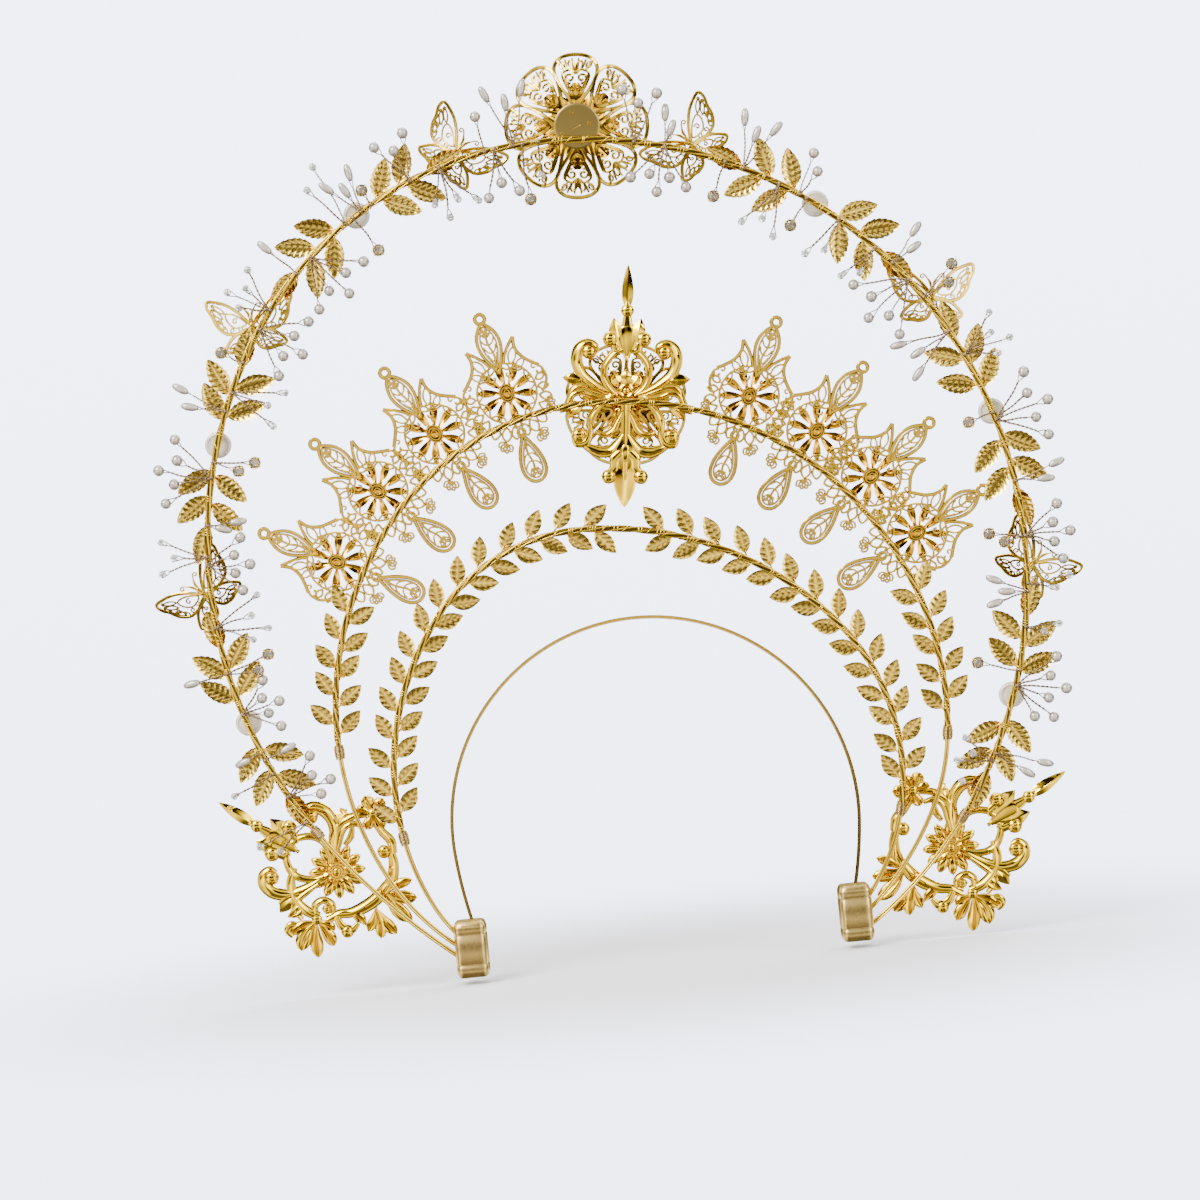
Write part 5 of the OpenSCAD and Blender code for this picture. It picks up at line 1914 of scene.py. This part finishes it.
@dataclass
class Sprigs(Part):
    """Beads on twisted wires along one side of the outer halo."""

    side: Side
    pearl_radius: float = 2.4
    rice_length: float = 7.5
    rice_width: float = 3.4
    crystal_width: float = 3.2
    stone_radius: float = 2.1
    strand: float = 0.25
    knot_radius: float = 0.72
    long_crystals: float = 0.3

    def places(self) -> Iterable[tuple[Bead, Points, Points, Place]]:
        """Every bead of the table, fanned out behind the wire.

        Yields:
            Its kind, the stem's root, the bead's middle, both in the halo's plane, and its place with z along
            the stem.
        """
        root = np.array([0, ROOT_Y, 0])
        for heading, way, kind, number, table_reach in SPRIGS[self.side]:
            spot = OUTER.spot(self.side, heading)
            for i in range(number):
                swing = 0.0 if number == 1 else (FAN_SWING if i % 2 == 0 else -FAN_SWING)
                angle = radians((i - (number - 1) / 2) * FAN_STEP)
                reach = table_reach + swing
                tip = np.array([reach * sin(angle), FAN_Y + (i % 3) * FAN_Y_STEP, way * reach * cos(angle)])
                d = tip - root
                size = float(np.linalg.norm(d))
                polar, around = degrees(acos(d[2] / size)), degrees(atan2(d[1], d[0]))
                place = spot @ shift(*root) @ turn("z", around) @ turn("y", polar) @ shift(0, 0, size)
                yield kind, moved(root[None], spot)[0], moved(tip[None], spot)[0], HALO_PLANE @ place

    def stem(self, shell: Shell, size: float, place: Place, half: float, width: float, rng: Random) -> None:
        """Twisted pair of wires that opens into a small loop round the bead's foot.

        Args:
            shell: where the wires go.
            size: distance from the root to the bead's middle.
            place: the bead's place, with z along the stem.
            half: distance from the bead's middle to where the wires enter it.
            width: how far apart they enter it.
            rng: source of the stem's small bends.
        """
        fork = -half - min(2.4, size * 0.2)
        count = max(12, int(size * 1.7))
        z = np.linspace(-size, fork, count)
        t = (z + size) / (fork + size)
        flat = np.array([1, 1, 0])
        sway = np.sin(t * pi)[:, None] * rng.uniform(-1, 1, 3)[None, :] * (0.7 * flat) * size / 18
        sway += np.sin(t * pi * 2)[:, None] * rng.uniform(-0.25, 0.25, 3)[None, :] * flat
        spin = rng.uniform(0, pi)
        c, q = cos(spin), sin(spin)
        for k, s in ((0, -1), (1, 1)):
            angle = t * size * 1.3 + k * pi
            line = np.c_[np.cos(angle), np.sin(angle), np.zeros(count)] * self.strand * 1.02 + sway
            line[:, 2] = z
            ends = np.array([(s * width * share * c, s * width * share * q, end)
                             for share, end in ((0.62, (fork - half) / 2 + half * 0.18), (1, -half * 0.72),
                                                (0.72, -half * 0.3))])
            path = np.vstack([line, spline(np.vstack([line[-1], ends]), 4)[1:]])
            shell.sweep(path, ROUND4, self.strand, place=place, up=(0.31, 0.9, 0.12))

    def crystal_profile(self, r: float, rng: Random) -> list[Pair]:
        """Outline of a clear bead, now and then a long one.

        Args:
            r: half of its width.
            rng: source of the choice.

        Returns:
            Profile of (radius, height along the stem).
        """
        if rng.uniform() < self.long_crystals:
            shares = ((0.24, -1.5), (0.66, -0.55), (0.98, 0.2), (0.86, 0.75), (0.4, 1.15))
        else:
            shares = ((0.36, -0.98), (0.8, -0.66), (1.06, -0.1), (1.06, 0.12), (0.8, 0.68), (0.36, 0.98))
        return [(r * x, r * z) for x, z in shares]

    def stone(self, stones: Shell, metal: Shell, place: Place, rng: Random) -> None:
        """Cut stone that looks backwards from a gold cup with four claws.

        Args:
            stones: where the stone goes.
            metal: where the cup and its claws go.
            place: the bead's place, of which only the middle counts.
            rng: source of the small turns.
        """
        r = self.stone_radius
        place = (shift(*place[:3, 3]) @ turn("x", 90 + HALO_LEAN + rng.uniform(-14, 14))
                 @ turn("y", rng.uniform(-16, 16)))
        stones.lathe([(r * 0.16, -1.1), (r * 0.98, -0.1), (r * 0.98, 0.08), (r * 0.58, 0.75)], 12,
                     place @ turn("z", rng.uniform(0, 90)))
        metal.lathe([(r * 0.5, -1.75), (r * 1.02, -1.5), (r * 1.2, -0.9), (r * 1.24, 0.1), (r * 1.1, 0.16),
                     (r * 1.02, -0.4), (r * 0.7, -1.3), (0.2, -1.4)], 16, place, mark=2)
        claw = spline([(r * 1.2, 0, -1.2), (r * 1.27, 0, -0.2), (r * 1.14, 0, 0.45), (r * 0.82, 0, 0.7)], 4)
        for k in range(4):
            metal.sweep(claw, ROUND6, 0.3, place=place @ turn("z", 45 + 90 * k), mark=1, up=(0.05, 1, 0))

    def build(self) -> None:
        """Makes the beads, the stones in their cups and all stems."""
        rng = np.random.default_rng(500 + self.side.value)
        pearls, rice, crystals, stones, stems = Shell(), Shell(), Shell(), Shell(), Shell()
        knots: set[Triple] = set()
        for kind, root, tip, place in self.places():
            knots.add(tuple(np.round(root, 3)))
            if kind is Bead.PEARL:
                half = self.pearl_radius * rng.uniform(0.93, 1.02)
                width = half * 0.62
                pearls.lathe([(max(half * cos(t), PEARL_HOLE), half * sin(t))
                              for t in np.linspace(-1.5, 1.5, 12)], 16, place)
            elif kind is Bead.RICE:
                half, wide = self.rice_length / 2, self.rice_width / 2
                width = wide * 0.5
                rice.lathe([(max(wide * cos(t) ** 0.82, RICE_HOLE), half * sin(t))
                            for t in np.linspace(-1.5, 1.5, 13)], 14, place)
            elif kind is Bead.CRYSTAL:
                half = self.crystal_width / 2
                width = half * 0.7
                profile = self.crystal_profile(half, rng)
                crystals.lathe(profile, 10, place @ turn("z", rng.uniform(0, 90)))
            else:
                half, width = self.stone_radius * 1.15, self.stone_radius * 0.5
                self.stone(stones, stems, place, rng)
            self.stem(stems, float(np.linalg.norm(tip - root)), place, half, width, rng)
        binding = ring_line((0, 0), 2, 2, 16)
        for x, y, z in knots:
            at = HALO_PLANE @ shift(x, y + 0.2, z)
            stems.ball(self.knot_radius, at, 8, 6)
            for k in range(2):
                ring = (binding + ahead(0.35 * k)) * np.array([0.36, 1, 0.36])
                stems.sweep(ring, ROUND5, 0.16, place=at @ turn("x", 25 * k), closed=True)
        pearls.piece(f"round_pearls_{self.side}", "ivory_pearl", [self.f.pearl], [f"pearls_{self.side}"])
        rice.piece(f"rice_pearl_beads_{self.side}", "ivory_pearl", [self.f.pearl],
                   [f"rice_pearls_{self.side}"])
        crystals.piece(f"clear_beads_{self.side}", "clear_crystal", [self.f.crystal],
                       [f"crystals_{self.side}"], faceted=True)
        stones.piece(f"cut_stones_{self.side}", "clear_crystal", [self.f.stone],
                     [f"rhinestones_{self.side}"], faceted=True)
        stems.piece(f"twisted_stems_{self.side}", "silver_wire", [self.f.stem, self.f.wire, self.f.binding],
                    [f"sprig_wires_{self.side}"], crease=95)


# Stage

# Name, place, width and height, power and colour of each soft panel of light
LAMPS = (
    ("key_panel", (-1, -1.1, 1.2), (1.1, 1.1), 84, (1, 0.985, 0.96)),
    ("fill_panel", (1.3, -0.9, 0.6), (0.4, 1.1), 14, (0.97, 0.98, 1)),
    ("top_panel", (0, 0.3, 1.5), (1.2, 0.6), 20, (1, 1, 1)),
    ("rear_panel", (0.9, 1.2, 1.4), (0.7, 0.7), 16, (1, 1, 1)),
)
# Brightness of the surroundings that the metal mirrors, from below to above and from one side to the other
RISE = (
    (0, (0.18, 0.16, 0.14)), (0.2, (0.06, 0.05, 0.035)), (0.28, (0.52, 0.49, 0.44)),
    (0.365, (0.84, 0.8, 0.73)), (0.415, (0.66, 0.62, 0.56)), (0.46, (0.01, 0.007, 0.004)),
    (0.56, (0.02, 0.014, 0.01)), (0.62, (0.6, 0.58, 0.55)), (0.69, (1.1, 1.1, 1.1)),
    (0.75, (0.012, 0.009, 0.006)), (0.86, (0.035, 0.03, 0.024)), (0.94, (0.8, 0.8, 0.8)))
STRIPS = (
    (0, (0.03, 0.024, 0.018)), (0.12, (0.75, 0.73, 0.7)), (0.19, (1.1, 1.1, 1.1)),
    (0.26, (0.01, 0.007, 0.004)), (0.41, (0.015, 0.012, 0.008)), (0.455, (0.22, 0.2, 0.18)),
    (0.51, (0.15, 0.135, 0.12)), (0.55, (0.01, 0.007, 0.005)), (0.71, (0.02, 0.016, 0.013)),
    (0.78, (1.1, 1.1, 1.1)), (0.86, (0.75, 0.75, 0.77)), (0.94, (0.02, 0.017, 0.014)))


@dataclass
class Studio:
    """Floor, lights, surroundings and camera, in metres."""

    floor_z: float = -0.1502
    floor_radius: float = 0.5
    floor_sides: int = 64
    roll: float = 5.4
    lens: float = 98
    sensor: float = 36
    sight: float = 60
    eye: Triple = (-0.014, -1.425, 0.009)
    aim: Triple = (0, -0.04, 0.05)
    mirror_strength: float = 7
    mirror_contrast: float = 1.6
    diffuse_cut: float = 0.85
    plain_strength: float = 8

    def surroundings(self) -> None:
        """Pale surroundings that hold darker cards for the metal to mirror."""
        world = bpy.data.worlds.new("studio")
        bpy.context.scene.world = world
        world.use_nodes = True
        bench = Bench(world.node_tree)
        way = bench.node("TexCoord")["Generated"]
        split = bench.node("SeparateXYZ", None, {0: way})
        across, height = split[0] * 0.5 + 0.5, split[2] * 0.5 + 0.5
        rise = bench.node("ValToRGB", {"stops": RISE}, {0: height})
        strips = bench.node("ValToRGB", {"stops": STRIPS}, {0: across})
        cards = bench.blend(0.5, rise[0], strips[0])
        cards = bench.node("Gamma", None, {"Color": cards, "Gamma": self.mirror_contrast})[0]
        rays = bench.node("LightPath")
        power = self.mirror_strength - rays["Is Diffuse Ray"] * (self.mirror_strength * self.diffuse_cut)
        mirror = bench.node("Background", None, {"Color": cards, "Strength": power})
        pale = bench.blend(height * 1.7 - 0.45, (0.42, 0.46, 0.62), (0.84, 0.87, 1))
        plain = bench.node("Background", None, {"Color": pale, "Strength": self.plain_strength})
        mix = bench.node("MixShader", None, {0: rays["Is Camera Ray"], 1: mirror[0], 2: plain[0]})
        bench.node("OutputWorld", None, {"Surface": mix[0]})

    def light(self, name: str, where: Triple, size: Pair, power: float, color: Color) -> None:
        """Adds a soft panel of light that looks at the crown.

        Args:
            name: name of the panel.
            where: its middle.
            size: its width and height.
            power: its power in watts.
            color: its colour.
        """
        data = bpy.data.lights.new(name, "AREA")
        data.shape = "RECTANGLE"
        data.size, data.size_y = size
        data.energy = power
        data.color = color
        lamp = placed(name, data)
        lamp.location = where
        lamp.rotation_euler = (Vector(self.aim) - Vector(where)).to_track_quat("-Z", "Y").to_euler()

    def floor(self) -> None:
        """Makes the round floor under the collars."""
        rim = [(self.floor_radius * cos(a), self.floor_radius * sin(a), self.floor_z)
               for a in around(self.floor_sides)]
        mesh = bpy.data.meshes.new("floor")
        mesh.from_pydata(rim, [], [list(range(self.floor_sides))])
        mesh.materials.append(StageFinish("pale_floor").make())
        floor = placed("floor", mesh)

    def camera(self) -> None:
        """Sets the level camera behind the crown, rolled a little."""
        data = bpy.data.cameras.new("camera")
        data.lens = self.lens
        data.sensor_width = self.sensor
        data.sensor_fit = "HORIZONTAL"
        data.clip_end = self.sight
        camera = placed("camera", data)
        camera.location = self.eye
        camera.rotation_mode = "QUATERNION"
        level = Vector((0, 1, 0)).to_track_quat("-Z", "Z")
        camera.rotation_quaternion = level @ Quaternion((0, 0, 1), radians(-self.roll))
        bpy.context.scene.camera = camera

    def build(self) -> None:
        """Makes the surroundings, the floor, the lights and the camera."""
        self.surroundings()
        self.floor()
        for row in LAMPS:
            self.light(*row)
        self.camera()


def main() -> None:
    """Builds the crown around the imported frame, piece by piece."""
    logging.basicConfig(level=logging.INFO, format="%(name)s %(message)s")
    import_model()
    f = Finishes()
    HeadBand(f).build()
    HaloWire(f, "outer", OUTER, seed=5).build()
    HaloWire(f, "middle", MIDDLE, seed=8, core_radius=1.15, lay=38, group_step=15).build()
    HaloWire(f, "inner", INNER, seed=11, core_radius=1.15, lay=44, group_step=12).build()
    Cartouche(f).build()
    FiligreeFlower(f, "filigree_flower_center", "center_flower", MIDDLE, CARTOUCHE_HEADING, out=-2, radius=26,
                   cup=90, base_y=FACE_Y + 2.2 + 0.6, turned=22.5).build()
    FiligreeFlower(f, "filigree_flower_top", "top_flower", OUTER, TOP_HEADING, out=TOP_OUT, radius=30,
                   cup=46, base_y=FACE_Y + 0.8 + 0.3).build()
    FlowerSeat(f).build()
    for side in Side:
        SideCollar(f, side).build()
        for name, bend, rows in LAURELS:
            Laurel(f, name, bend, side, *rows[side.value]).build()
        SideOrnament(f, side).build()
        ButtonPearls(f, side).build()
        Sprigs(f, side).build()
        for number in range(1, len(PENDANTS) + 1):
            Pendant(f, side, number).build()
        for number in range(1, len(BUTTERFLIES) + 1):
            Butterfly(f, side, number).build()
        for number in range(1, 2 * len(CABOCHONS) + 1):
            LeafSpray(f, side, number).build()
    Studio().build()


if __name__ == "__main__":
    main()
